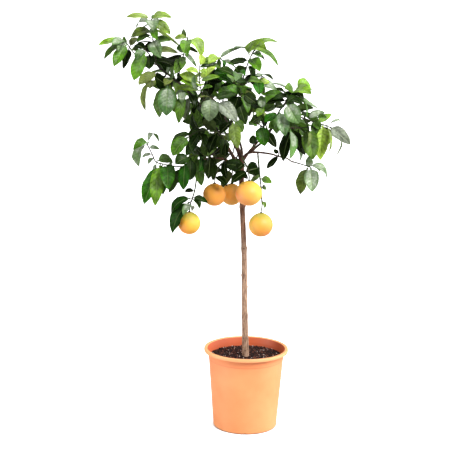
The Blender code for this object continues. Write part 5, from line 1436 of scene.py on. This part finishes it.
def twig_finish():
    """Dark green young stems that turn brown in patches."""
    made, paint = finish("twig_green", Roughness=0.6, Specular_IOR_Level=0.3)
    spot = paint.place((1, 1, 0.4))
    patch = paint.between(paint.noise(spot, TWIG_PATCHES, 3.0), 0.40, 0.62)
    green, brown = (paint.mix(paint.noise(spot, flecks), dark, light) for flecks, dark, light in TWIG_COLORS)
    paint.send("Base Color", paint.mix(patch, green, brown))
    paint.relief(paint.noise(spot, TWIG_GRAIN), 0.0004, 0.5)
    return made


def bark_finish():
    """Grey-brown bark with scars, pores and long grain, which turns redder and darker towards the crown."""
    made, paint = finish("bark", Roughness=0.85)
    height = paint.parts(paint.place())[2]
    grain = paint.noise(paint.place((1, 1, 0.12)), BARK_FIBRES, 4.0, 0.65)
    blotch = paint.noise(paint.place((1, 1, 0.5)), BARK_BLOTCHES, 3.0)
    climb = paint.plus(height, paint.times(blotch, 0.16))
    ashen = paint.times(paint.between(blotch, 0.52, 0.68, 0.0, 0.35), paint.between(climb, *CROTCH, 1.0, 0.2))
    scars = paint.between(paint.cells(paint.place((1, 1, 1.8)), SCAR_CELLS), 0.15, 0.36, 0.85, 0.0)
    pores = paint.between(paint.cells(paint.place((1, 1, 2.6)), PORE_CELLS), 0.10, 0.22, 0.5, 0.0)
    pores = paint.times(pores, paint.between(climb, *CROTCH, 1.0, 0.3))
    color = paint.layered(
        paint.ramp(grain, *BARK_LOW),
        (paint.between(climb, *HIGH_BARK), paint.ramp(grain, *BARK_HIGH)),
        (paint.between(climb, *LIMB_BARK), paint.ramp(grain, *BARK_LIMB)),
        (ashen, BARK_ASHEN),
        (paint.times(scars, paint.between(grain, 0.35, 0.55, 1.0, 0.3)), BARK_SCARS),
        (pores, BARK_PORES),
    )
    paint.send("Base Color", color)
    paint.relief(paint.plus(grain, paint.times(pores, 0.4)), 0.0015, 0.8)
    return made


def peel_finish(name, top, middle, low, color_way, unripe):
    """Waxy peel with oil pores, whose colour runs from the stalk end down and to one side, on two fruits
    partly a painted highlight.
    """
    made, paint = finish("peel_" + name, Coat_Weight=0.1, Coat_Roughness=0.4, Subsurface_Weight=0.35,
                         Subsurface_Radius=PEEL_DEPTH)
    place, width, _ = FRUITS[name]
    spot = paint.place()
    offset = paint.vector("SUBTRACT", spot, tuple(seen(place)))
    way = tuple(Vector(color_way).normalized())
    reach = paint.add("ShaderNodeVectorMath", {0: offset, 1: way}, out=1, operation="DOT_PRODUCT")
    cloud = paint.noise(spot, PEEL_CLOUDS, 3.0)
    stray = paint.times(paint.minus(cloud, 0.5), 0.5)
    share = paint.plus(paint.math("DIVIDE", reach, width * CM), stray, 0.5)
    height = paint.math("DIVIDE", paint.parts(offset)[2], width * CM / 2)
    green = paint.between(paint.plus(height, paint.times(cloud, 0.8)), 0.65, 1.35, 0.0, unripe)
    pores = paint.cells(spot, PEEL_PORES)
    color = paint.layered(
        # From the low colour to the top one along the colour way; on the left and front fruit the lighter end
        # is partly a painted highlight
        paint.ramp(share, (0.05, low), (0.5, middle), (0.95, top)),
        (green, PEEL_GREEN),
        (paint.between(pores, 0.05, 0.35, 0.25, 0.0), PEEL_DOTS),
    )
    paint.send("Base Color", color)
    paint.send("Roughness", paint.between(cloud, 0.3, 0.7, 0.44, 0.56))
    paint.relief(paint.between(pores, 0.0, 0.5), 0.0006, 0.5)
    return made


def pot_finish():
    """Moulded terracotta-coloured plastic, a little mottled, scuffed and finely grained, with painted shade
    and painted highlight.
    """
    made, paint = finish("pot_plastic", Coat_Weight=0.1, Coat_Roughness=0.4)
    spot = paint.place()
    height = paint.parts(spot)[2]
    inside = paint.attribute("inside", "Fac")
    scuff = paint.noise(paint.place((1, 1, 0.15)), POT_SCUFFS, 4.0, 0.7)
    step = POT_HEIGHT - STEP_DROP
    rim_low = POT_HEIGHT - RIM_HEIGHT
    from_step = paint.math("ABSOLUTE", paint.minus(height, step))
    # Painted highlight on the rim, kept off the inside
    rim = paint.between(height, rim_low - 0.001, rim_low + 0.004, 0.0, 0.8)
    color = paint.layered(
        paint.ramp(paint.noise(spot, POT_CLOUDS, 3.0), *POT_WALL),
        (paint.between(scuff, 0.62, 0.78, 0.0, 0.30), POT_SCUFF),
        # Painted shade inside the pot
        (inside, POT_INSIDE_SHADE),
        # Painted shade under the rim, on the upper wall and from the step up
        (paint.between(height, POT_SHOULDER, step, 0.0, 0.25), POT_UPPER_SHADE),
        (paint.between(height, step - 0.002, step + 0.001, 0.0, 0.18), POT_NECK_SHADE),
        # Painted shadow line at the step
        (paint.between(from_step, 0.0008, 0.0025, 0.35, 0.0), POT_STEP_SHADOW),
        (paint.times(rim, paint.between(inside, 0.0, 1.0, 1.0, 0.0)), POT_RIM_HIGHLIGHT),
        # Painted contact shadow at the foot
        (paint.between(height, 0.0015, 0.0045, 0.8, 0.0), POT_FOOT_SHADOW),
    )
    paint.send("Base Color", color)
    paint.send("Roughness", paint.between(scuff, 0.3, 0.75, 0.42, 0.58))
    paint.relief(paint.noise(spot, POT_GRAIN), 0.0002, 0.5)
    return made


def compost_finish():
    """Dark crumbs of peat and bark, with a few pale ones."""
    made, paint = finish("compost", Roughness=0.95, Specular_IOR_Level=0.15)
    spot = paint.place()
    luck = paint.attribute("speck", "Fac")
    color = paint.layered(
        paint.ramp(paint.noise(spot, PEAT_CLOUDS, 3.0), *PEAT),
        (paint.between(luck, 0.50, 0.85), BARK_CHIP),
        (paint.between(luck, 0.91, 0.95), PALE_CHIP),
    )
    paint.send("Base Color", color)
    paint.relief(paint.noise(spot, PEAT_GRAIN, 3.0), 0.001, 0.8)
    return made


# Leaves and stems


def leaf_pattern():
    """A leaf of unit length: its two sides share their rim, and each vertex keeps its place on the leaf."""
    verts, faces, shape, edges, widest = [], [], [], [], []

    def vertex(edge, half, u, lift):
        verts.append(Vector((edge * half, u, lift)))
        shape.append((edge * half, u, lift))
        edges.append(edge)
        widest.append(half)
        return len(verts) - 1

    before = None
    spans = range(len(COLUMNS) - 1)
    for u, half, plump in OUTLINE:
        upper, under = [], []
        for edge in COLUMNS:
            if abs(edge) == 1:
                upper.append(vertex(edge, half, u, 0.0))
                under.append(upper[-1])
            else:
                upper.append(vertex(edge, half, u, plump * SHEET))
                under.append(vertex(edge, half, u, -plump * (RIB if edge == 0 else SHEET)))
        for i in spans:
            if before:
                faces.append((before[0][i], before[0][i + 1], upper[i + 1], upper[i]))
                faces.append((before[1][i + 1], before[1][i], under[i], under[i + 1]))
            else:
                faces.append(tuple(dict.fromkeys((under[i], under[i + 1], upper[i + 1], upper[i]))))
        before = (upper, under)
    tip = vertex(0, 0, 1.0, 0.0)
    for i in spans:
        faces.append((before[0][i], before[0][i + 1], tip))
        faces.append((before[1][i + 1], before[1][i], tip))
    obj = new_object("leaf_pattern", verts, (), faces)
    set_attribute(obj, "shape", "FLOAT_VECTOR", shape)
    set_attribute(obj, "edge", "FLOAT", edges)
    set_attribute(obj, "widest", "FLOAT", widest)
    return obj


def spray_recipe():
    """Puts a pattern on each leaf's own curve, folded and waved, and a tube on the stem."""
    tree = Recipe("leafy_spray", Pattern="Object", Stem="Object", Calyx="Object", Sides="Int", Wave="Float",
                  Flutter="Float", Bulge="Float", Blade="Material", Twig="Material")
    leaves = tree.realized(tree.given["Geometry"], tree.shape_of("Pattern"))
    across, u, lift = tree.parts(tree.attribute("shape", "FLOAT_VECTOR"))
    base, bend, tip, side = (tree.attribute(name, "FLOAT_VECTOR") for name in ("base", "bend", "tip", "side"))
    half, edge = tree.attribute("half"), tree.attribute("edge")
    rest = tree.minus(1.0, u)
    middle = tree.total(
        tree.scaled(base, tree.times(rest, rest)),
        tree.scaled(bend, tree.times(u, rest, 2.0)),
        tree.scaled(tip, tree.times(u, u)),
    )
    way = tree.total(
        tree.scaled(tree.vector("SUBTRACT", bend, base), rest),
        tree.scaled(tree.vector("SUBTRACT", tip, bend), u),
    )
    up = tree.vector("NORMALIZE", tree.vector("CROSS_PRODUCT", side, way))
    reach = tree.math("ABSOLUTE", across)
    folded = tree.times(reach, tree.attribute("fold"))
    crown = tree.math("SINE", tree.times(tree.math("ABSOLUTE", edge), math.pi))
    domed = tree.times(crown, tree.attribute("widest"), tree.given["Bulge"])
    turn = tree.times(tree.minus(u, WAVE_TOP), 2 * math.pi / WAVE_LENGTH)
    waved = tree.times(tree.math("COSINE", turn), tree.given["Wave"], edge, reach)
    beat = tree.math("SINE", tree.plus(tree.times(u, FLUTTER_PACE), tree.attribute("luck")))
    fluttered = tree.times(beat, tree.given["Flutter"], edge, across)
    rise = tree.plus(tree.minus(tree.plus(folded, domed), waved), fluttered)
    height = tree.plus(tree.times(rise, half), lift)
    spread = tree.scaled(side, tree.times(across, half))
    spot = tree.total(middle, spread, tree.scaled(up, height))
    leaves = tree.add("GeometryNodeSetPosition", {"Geometry": leaves, "Position": spot})
    stem = tree.tube(tree.shape_of("Stem"), tree.given["Sides"])
    stem = tree.store(tree.joined(stem, tree.shape_of("Calyx")), "woody", 1.0)
    tree.end(tree.joined(leaves, stem), "Blade", "Twig")
    return tree


def leaf_letters(spray, count, rng):
    """A colour letter for each leaf of a stem, by chance where the front view hides it."""
    read = LEAF_TONES.get(spray, "")
    # Hidden leaves inside the crown take dark letters, as painted shade
    unseen = BACK_TONES if spray in BACK_SPRAYS else INNER_SHADE_TONES
    return read + "".join(rng.choice(unseen) for _ in range(count - len(read)))


def leaf_tint(letter, rng):
    """The colour of a leaf by its letter, a little lighter or darker and purer or greyer by chance."""
    share, grey = rng.uniform(*TONE_SPREAD), rng.uniform(*PURITY_SPREAD)
    red, green, blue = (value * share for value in TONES[letter])
    return red * (0.5 + grey / 2), green, blue * grey, 1


def make_calyx(low):
    """A small lobed star under the end of a fruiting twig."""
    verts = []
    for radius, height, lobe in CALYX_RINGS:
        for k in range(CALYX_POINTS):
            angle = 2 * math.pi * k / CALYX_POINTS
            out = radius * (1 + lobe * math.cos(CALYX_LOBES * angle))
            verts.append(low + Vector((out * math.cos(angle), out * math.sin(angle), height)))
    return new_object("calyx", verts, (), ring_faces(len(CALYX_RINGS), CALYX_POINTS))


def stem_line(path, bases, thickening):
    """The fine line of a stem that swells at each leaf, and the places where the leaves leave it."""
    fine = smooth_path(path, FINE_STEP)
    bases = [nearest_on_path(fine, base) for base in bases]
    line = []
    for i, point in enumerate(fine):
        swell = sum(NODE_SWELL * math.exp(-((point - base).length / NODE_REACH) ** 2) for base in bases)
        radius = blend(STEM_RADII, i / (len(fine) - 1)) * MM * thickening
        line.append((point, radius + min(swell, NODE_SWELL)))
    return line, bases


def make_spray(name, path, leaves, tree, pattern, blade, twig):
    """One leafy stem with its leaves."""
    rng = random.Random(name + " finish")
    fruit = FRUIT_OF_TWIG.get(name)
    line, bases = stem_line(path, [leaf.base for leaf in leaves], TWIG_BEARING if fruit else TWIG_SWELL)
    stem = lines_object(name + "_line", [line])
    calyx = make_calyx(fruit_top(fruit)) if fruit else None
    points = new_object(name + "_piece", bases)
    for label in ("bend", "tip", "side"):
        set_attribute(points, label, "FLOAT_VECTOR", [getattr(leaf, label) for leaf in leaves])
    set_attribute(points, "base", "FLOAT_VECTOR", bases)
    set_attribute(points, "half", "FLOAT", [leaf.half for leaf in leaves])
    set_attribute(points, "fold", "FLOAT", [FOLD * rng.uniform(*FOLD_SPREAD) for _ in leaves])
    set_attribute(points, "luck", "FLOAT", [rng.uniform(0, 2 * math.pi) for _ in leaves])
    letters = leaf_letters(name, len(leaves), rng)
    set_attribute(points, "tint", "FLOAT_COLOR", [leaf_tint(letter, rng) for letter in letters])
    set_attribute(points, "bloom", "FLOAT", [SHEEN_AMOUNTS.get(letter, USUAL_SHEEN_AMOUNT) for letter in letters])
    tree.make(points, Pattern=pattern, Stem=stem, Calyx=calyx, Sides=TWIG_SIDES, Wave=WAVE, Flutter=FLUTTER,
              Bulge=BULGE, Blade=blade, Twig=twig)
    for spare in (stem, calyx):
        if spare:
            bpy.data.objects.remove(spare)
    dress(points, "leaf", name)


# Wood


def wood_recipe():
    """A tube on each line of the wood, roughened like bark."""
    tree = Recipe("wood", Sides="Int", Grain="Float", Relief="Float", Bark="Material")
    wood = tree.tube(tree.given["Geometry"], tree.given["Sides"])
    squeezed = tree.vector("MULTIPLY", tree.add("GeometryNodeInputPosition"), (1, 1, 0.3))
    rough = tree.minus(tree.noise(squeezed, tree.given["Grain"], 3.0), 0.5)
    out = tree.scaled(tree.add("GeometryNodeInputNormal"), tree.times(rough, tree.given["Relief"]))
    wood = tree.add("GeometryNodeSetPosition", {"Geometry": wood, "Offset": out})
    tree.end(wood, "Bark")
    return tree


def thick_line(path, radii, collar=0.0):
    """A fine line along a coarse one, with a swollen collar where a limb leaves what carries it."""
    fine = smooth_path(path, FINE_STEP)
    line = []
    run = 0.0
    for i, point in enumerate(fine):
        if i:
            run += (point - fine[i - 1]).length
        radius = blend(radii, i / (len(fine) - 1))
        line.append((point, radius * (1 + collar * math.exp(-run / COLLAR_REACH))))
    return line


def trunk_line(trunk):
    """The line of the trunk, with a knot at the height of each stub."""
    line = []
    for point, radius in thick_line(*trunk):
        radius += TRUNK_BARK
        for height, _, _ in TRUNK_STUBS:
            radius += KNOT_SWELL * math.exp(-((point.z - height * CM) / KNOT_REACH) ** 2)
        line.append((point, radius))
    return line


def make_wood(trunk, limbs, spurs, bark):
    """The trunk with its limbs, the spurs that the stems stand off, and the pruned stubs."""
    bole = trunk_line(trunk)
    lines = [bole] + [thick_line(path, radii, COLLAR) for path, radii in limbs]
    carriers = [[point for point, _ in line] for line in lines]
    for start, foot in spurs:
        near = min((nearest_on_path(path, start) for path in carriers), key=lambda p: (p - start).length)
        middle = near.lerp(foot, 0.5)
        lines.append([(near, SPUR_RADIUS), (middle, SPUR_RADIUS * SPUR_BULGE), (foot, SPUR_RADIUS)])
    for height, way, slant in TRUNK_STUBS:
        start = min((point for point, _ in bole), key=lambda p: abs(p.z - height * CM))
        end = start + Vector((way, slant, STUB_RISE)).normalized() * STUB_REACH
        lines.append([(start.lerp(end, share), radius * MM) for share, radius in STUB_SHAPE])
    wood = lines_object("trunk_piece", lines)
    wood_recipe().make(wood, Sides=WOOD_SIDES, Grain=BARK_GRAIN, Relief=BARK_RELIEF, Bark=bark)
    dress(wood, "bark", "trunk")


# Fruit


def fruit_profile(name):
    """The outline of half the space that a fruit keeps clear, from its lowest point up."""
    _, width, height_share = FRUITS[name]
    radius = width * CM / 2
    profile = [(0, -radius * height_share)]
    for degrees in reversed(FRUIT_PROFILE):
        angle = math.radians(degrees)
        neck = 1 + FRUIT_NECK * max(0.0, math.cos(angle)) ** NECK_POWER
        profile.append((radius * math.sin(angle), radius * height_share * neck * math.cos(angle)))
    profile.append((0, radius * height_share * (1 + FRUIT_NECK)))
    return profile


def fruit_recipe():
    """A flattened ball that swells towards its stalk, dimpled at both ends and a little uneven."""
    tree = Recipe("fruit", Centre="Vector", Radius="Float", Height="Float", Neck="Float", Dimple="Float",
                  Uneven="Float", Peel="Material")
    size = {"Segments": BALL_SEGMENTS, "Rings": BALL_RINGS, "Radius": 1.0}
    ball = tree.add("GeometryNodeMeshUVSphere", size)
    spot = tree.add("GeometryNodeInputPosition")
    x, y, z = tree.parts(spot)
    neck = tree.times(tree.math("POWER", tree.math("MAXIMUM", z, 0.0), NECK_POWER), tree.given["Neck"])
    tall = tree.times(tree.plus(neck, 1.0), tree.given["Height"])
    away = tree.plus(tree.times(x, x), tree.times(y, y))
    dent = tree.times(tree.math("EXPONENT", tree.times(away, DIMPLE_FALL)), tree.given["Dimple"])
    shaped = tree.add("ShaderNodeCombineXYZ", {0: x, 1: y, 2: tree.times(z, tall, tree.minus(1.0, dent))})
    shift = tree.vector("ADD", spot, tree.scaled(tree.given["Centre"], LUMP_SHIFT))
    lump = tree.times(tree.minus(tree.noise(shift, LUMPS, 1.0), 0.5), tree.given["Uneven"])
    size = tree.times(tree.plus(lump, 1.0), tree.given["Radius"])
    place = tree.total(tree.scaled(shaped, size), tree.given["Centre"])
    fruit = tree.add("GeometryNodeSetPosition", {"Geometry": ball, "Position": place})
    tree.end(fruit, "Peel")
    return tree


def make_fruits():
    recipe = fruit_recipe()
    for name, (place, width, height_share) in FRUITS.items():
        fruit = new_object(name + "_piece", [Vector()])
        recipe.make(fruit, Centre=seen(place), Radius=width * CM / 2, Height=height_share, Neck=FRUIT_NECK,
                    Dimple=DIMPLE, Uneven=UNEVEN, Peel=peel_finish(name, *PEELS[name]))
        dress(fruit, "peel", name)


# Pot and compost


def arc(middle, radius, start, end, count):
    """Points on part of a circle, with angles in degrees."""
    points = []
    for i in range(count + 1):
        angle = math.radians(start + (end - start) * i / count)
        points.append((middle[0] + radius * math.cos(angle), middle[1] + radius * math.sin(angle)))
    return points


def inner_radius(height):
    """The pot's inner wall radius at a height."""
    share = (height - FLOOR) / (POT_HEIGHT - FLOOR)
    return WALL_FOOT_RADIUS - WALL + share * (INNER_TOP_RADIUS - WALL_FOOT_RADIUS + WALL)


def pot_profile():
    """The outline of half the pot, from the middle of its underside over the rim to its floor."""
    rim_low = POT_HEIGHT - RIM_HEIGHT
    rim_in = RIM_RADIUS - RIM_WIDTH
    step = POT_HEIGHT - STEP_DROP
    step_radius = WALL_TOP_RADIUS - (WALL_TOP_RADIUS - WALL_FOOT_RADIUS) * STEP_DROP / POT_HEIGHT
    foot_round = WALL_FOOT_RADIUS - FOOT_RADIUS
    lip = RIM_ROUND
    profile = [(0, 0), (FOOT_RADIUS * 0.6, 0)]
    for i in range(FOOT_STEPS + 1):
        angle = math.pi / 2 * i / FOOT_STEPS
        profile.append((FOOT_RADIUS + foot_round * math.sin(angle), FOOT_ROUND * (1 - math.cos(angle))))
    profile += [
        (step_radius - STEP_DEPTH, step - STEP_DEPTH),
        (step_radius, step),
        (step_radius, step + STEP_DEPTH),
        (WALL_TOP_RADIUS - NECK_PINCH, rim_low - NECK_DROP),
        (WALL_TOP_RADIUS + NECK_FLARE, rim_low),
        *arc((RIM_RADIUS - lip, rim_low + lip), lip, -90, 0, 5),
        *arc((RIM_RADIUS - lip, POT_HEIGHT - lip), lip, 0, 90, 6),
        *arc((rim_in + lip, POT_HEIGHT - lip), lip, 90, 180, 5),
    ]
    profile += [(inner_radius(height), height) for height in (rim_low - lip, SOIL_TOP, FLOOR)]
    profile.append((0, FLOOR))
    return profile


def notch_cutter(turn):
    """A block with a round top that cuts one drainage notch."""
    width, deep, high = NOTCH_SIZE
    top = [(width / 2 * x, high / 2 * z) for x, z in arc((0, 0), 1, 0, 180, NOTCH_STEPS)]
    outline = [(width / 2, -high / 2), *top, (-width / 2, -high / 2)]
    count = len(outline)
    verts = [Vector((x, y, z)) for y in (-deep / 2, deep / 2) for x, z in outline]
    faces = [tuple(range(count)), tuple(reversed(range(count, 2 * count)))]
    faces += [(k, k + count, (k + 1) % count + count, (k + 1) % count) for k in range(count)]
    return new_object("notch", [turn @ v for v in verts], (), faces)


def make_pot(plastic):
    """The pot, with its notches cut and the inside marked for its painted shade."""
    pot = turned("pot_piece", pot_profile(), POT_FINE)
    for i in range(NOTCHES):
        turn = Matrix.Rotation(2 * math.pi * i / NOTCHES, 4, "Z") @ Matrix.Translation((0, -FOOT_RADIUS, 0))
        cutter = notch_cutter(turn)
        hole = pot.modifiers.new("notch", "BOOLEAN")
        hole.operation = "DIFFERENCE"
        hole.solver = "EXACT"
        hole.object = cutter
        bake(pot)
        bpy.data.objects.remove(cutter)
    pot.data.materials.clear()
    pot.data.materials.append(plastic)
    hollow = []
    for vertex in pot.data.vertices:
        height, away = vertex.co.z, vertex.co.xy.length
        in_rim = height > POT_HEIGHT - RIM_HEIGHT
        edge = RIM_RADIUS - RIM_WIDTH if in_rim else inner_radius(height)
        hollow.append(float(height > FLOOR - GAP and away < edge + GAP))
    set_attribute(pot, "inside", "FLOAT", hollow)
    dress(pot, "pot_plastic", "pot", crease=POT_CREASE)


def compost_recipe():
    """Crumbs strewn over the top of the bed, each turned, stretched and chipped by chance."""
    tree = Recipe("compost", Density="Float", Small="Float", Large="Float", Edge="Float", Stem="Float",
                  Seed="Int", Earth="Material")
    bed = tree.given["Geometry"]
    upward = tree.math("GREATER_THAN", tree.parts(tree.add("GeometryNodeInputNormal"))[2], 0.5)
    x, y, _ = tree.parts(tree.add("GeometryNodeInputPosition"))
    away = tree.math("SQRT", tree.plus(tree.times(x, x), tree.times(y, y)))
    inside = tree.math("LESS_THAN", away, tree.given["Edge"])
    clear = tree.math("GREATER_THAN", away, tree.given["Stem"])
    chosen = tree.times(inside, clear, upward)
    strewn = {"Mesh": bed, "Selection": chosen, "Density": tree.given["Density"], "Seed": tree.given["Seed"]}
    points = tree.add("GeometryNodeDistributePointsOnFaces", strewn)
    points = tree.store(points, "speck", tree.random(0.0, 1.0, SPECK_SEED))
    crumb = tree.add("GeometryNodeMeshIcoSphere", {"Radius": 1.0, "Subdivisions": 2})
    size = tree.random(tree.given["Small"], tree.given["Large"], SIZE_SEED)
    stretch = tree.random_vector(*CRUMB_STRETCH, STRETCH_SEED)
    turn = tree.random_vector(*CRUMB_TURN, TURN_SEED)
    crumbs = tree.realized(points, crumb, Rotation=turn, Scale=tree.scaled(stretch, size))
    place = {"Vector": tree.add("GeometryNodeInputPosition"), "Scale": CRUMB_CHIPS}
    jolt = tree.add("ShaderNodeTexNoise", place, out=1)
    jolt = tree.scaled(tree.vector("SUBTRACT", jolt, (0.5, 0.5, 0.5)), CHIP_DEPTH)
    crumbs = tree.add("GeometryNodeSetPosition", {"Geometry": crumbs, "Offset": jolt})
    tree.end(tree.joined(bed, crumbs), "Earth")
    return tree


def make_compost(earth):
    """The bed of compost, with a rippled top and its crumbs."""
    edge = inner_radius(SOIL_TOP) - 2 * GAP
    profile = [(0, FLOOR + GAP), (inner_radius(FLOOR) - 2 * GAP, FLOOR + GAP), (edge, SOIL_TOP - SOIL_BUMP)]
    profile += [(edge * (1 - i / SOIL_FINE), SOIL_TOP) for i in range(1, SOIL_FINE)]
    profile.append((0, SOIL_TOP))
    bed = turned("soil_piece", profile, POT_FINE // 2)
    for vertex in bed.data.vertices:
        if vertex.co.z > SOIL_TOP - MM:
            ripple = sum(noise.noise(vertex.co * pace) * share for pace, share in SOIL_RIPPLES)
            vertex.co.z += SOIL_BUMP * ripple - SOIL_SINK
    small, large = CRUMB_SIZE
    compost_recipe().make(bed, Density=CRUMB_DENSITY, Small=small, Large=large, Edge=edge - CRUMB_INSET,
                          Stem=TRUNK_RADII[0] * MM * TRUNK_SHARE_BARE, Seed=CRUMB_SEED, Earth=earth)
    dress(bed, "soil", "soil", crease=SOIL_CREASE)


# The whole tree


def grow():
    """The places of the trunk, limbs, spurs, stems and leaves, by the rules that the solids follow."""
    crown = Crown()
    trunk_path = smooth_path([seen(p) for p in TRUNK], TRUNK_STEP)
    trunk = (trunk_path, even_radii(TRUNK_RADII, trunk_path))
    limbs = []
    for thick, thin, points in LIMBS.values():
        path = smooth_path([seen(p) for p in points], LIMB_STEP)
        limbs.append((path, even_radii((thick, thin), path)))
    crown.keep("trunk", *tube(*trunk, TRUNK_SIDES))
    for limb in limbs:
        crown.keep("trunk", *tube(*limb, LIMB_SIDES))
    for name in FRUITS:
        ball = turned(name + "_space", fruit_profile(name), FRUIT_SEGMENTS)
        verts = [v.co + seen(FRUITS[name][0]) for v in ball.data.vertices]
        crown.keep(name, verts, [tuple(p.vertices) for p in ball.data.polygons])
        bpy.data.objects.remove(ball)
    spurs, stems = [], {}
    for name, (points, _) in {**SPRAYS, **BACK_SPRAYS}.items():
        points = [seen(p) for p in points]
        if name in FRUIT_OF_TWIG:
            points[-1] = fruit_top(FRUIT_OF_TWIG[name]) + Vector((0, 0, GAP + CALYX_HEIGHT / 2))
        spur, path = plant_stem(points, [trunk, *limbs])
        spurs.append(spur)
        stems[name] = path
        crown.keep("trunk", *tube(spur, [SPUR_RADIUS] * 2, SPUR_SIDES))
        crown.keep(name + " stem", *tube(path, even_radii(STEM_RADII, path), STEM_SIDES))
    leaves, taken = {}, {name: [] for name in stems}
    for name, (_, rows) in SPRAYS.items():
        leaves[name] = read_leaves(crown, name, stems[name], rows, taken[name])
    for name, (_, count) in BACK_SPRAYS.items():
        leaves[name] = spiral_leaves(crown, name, stems[name], count, taken[name])
    fill_leaves(crown, stems, leaves, taken)
    return trunk, limbs, spurs, stems, leaves


# Floor, light and camera


def make_floor():
    """A wide pale floor, dark under the pot, that glows where the camera sees it directly."""
    corners = ((-1, -1), (1, -1), (1, 1), (-1, 1))
    corners = [(x * FLOOR_REACH, y * FLOOR_REACH, 0) for x, y in corners]
    floor = new_object("floor", corners, (), [(0, 1, 2, 3)])
    coat, paint = finish("floor_white", Roughness=0.9)
    directly = paint.add("ShaderNodeLightPath", out="Is Camera Ray")
    away = paint.add("ShaderNodeVectorMath", {0: paint.place()}, out=1, operation="LENGTH")
    shaded = paint.mix(paint.between(away, *UNDER_POT), FLOOR_SHADED, FLOOR_SEEN)
    paint.send("Base Color", paint.mix(directly, FLOOR_BOUNCE, shaded))
    glow = paint.between(away, *POT_SHADE, 0.0, FLOOR_GLOW)
    paint.send("Emission Strength", paint.times(directly, glow))
    floor.data.materials.append(coat)


def make_room():
    """White surroundings, which light the tree less than they look."""
    world = bpy.data.worlds.new("white_room")
    world.use_nodes = True
    room = Nodes(world.node_tree)
    background = world.node_tree.nodes["Background"]
    background.inputs["Color"].default_value = (1, 1, 1, 1)
    directly = room.add("ShaderNodeLightPath", out="Is Camera Ray")
    strength = room.between(directly, 0.0, 1.0, ROOM_LIGHT, 1.0)
    world.node_tree.links.new(strength, background.inputs["Strength"])
    bpy.context.scene.world = world


def add_lamp(name, kind, place, way, strength):
    """A lamp at a place that shines one way."""
    lamp = bpy.data.lights.new(name, kind)
    lamp.energy = strength
    obj = bpy.data.objects.new(name, lamp)
    bpy.context.scene.collection.objects.link(obj)
    obj.location = place
    obj.rotation_euler = way.to_track_quat("-Z", "Y").to_euler()
    return obj


def make_stage():
    """The floor, the room with its lamps, and the camera."""
    scene = bpy.context.scene
    make_floor()
    make_room()
    for name, way, spread, strength in SUNS:
        sun = add_lamp(name, "SUN", (0, 0, 0), -Vector(way), strength)
        sun.data.angle = math.radians(spread)
    for name, place, facing, width, watts in PANELS:
        panel = add_lamp(name, "AREA", place, Vector(facing) - Vector(place), watts)
        panel.data.size = width
        panel.visible_camera = False
    scene.view_settings.view_transform = "Standard"
    camera = bpy.data.objects.new("camera", bpy.data.cameras.new("camera"))
    scene.collection.objects.link(camera)
    camera.data.sensor_width = SENSOR
    camera.data.lens = LENS_PIXELS / PHOTO_WIDTH * SENSOR
    tilt = Euler((math.radians(90 - CAMERA_DIP), 0, 0)).to_matrix().to_4x4()
    camera.matrix_world = Matrix.Translation(EYE) @ tilt @ Matrix.Rotation(math.radians(CAMERA_ROLL), 4, "Z")
    scene.camera = camera


def main():
    make_stage()
    trunk, limbs, spurs, stems, leaves = grow()
    blade, twig = leaf_finish(), twig_finish()
    pattern, spray = leaf_pattern(), spray_recipe()
    for name, path in stems.items():
        make_spray(name, path, [leaf for leaf in leaves[name] if leaf], spray, pattern, blade, twig)
    bpy.data.objects.remove(pattern)
    make_wood(trunk, limbs, spurs, bark_finish())
    make_fruits()
    make_pot(pot_finish())
    make_compost(compost_finish())


main()
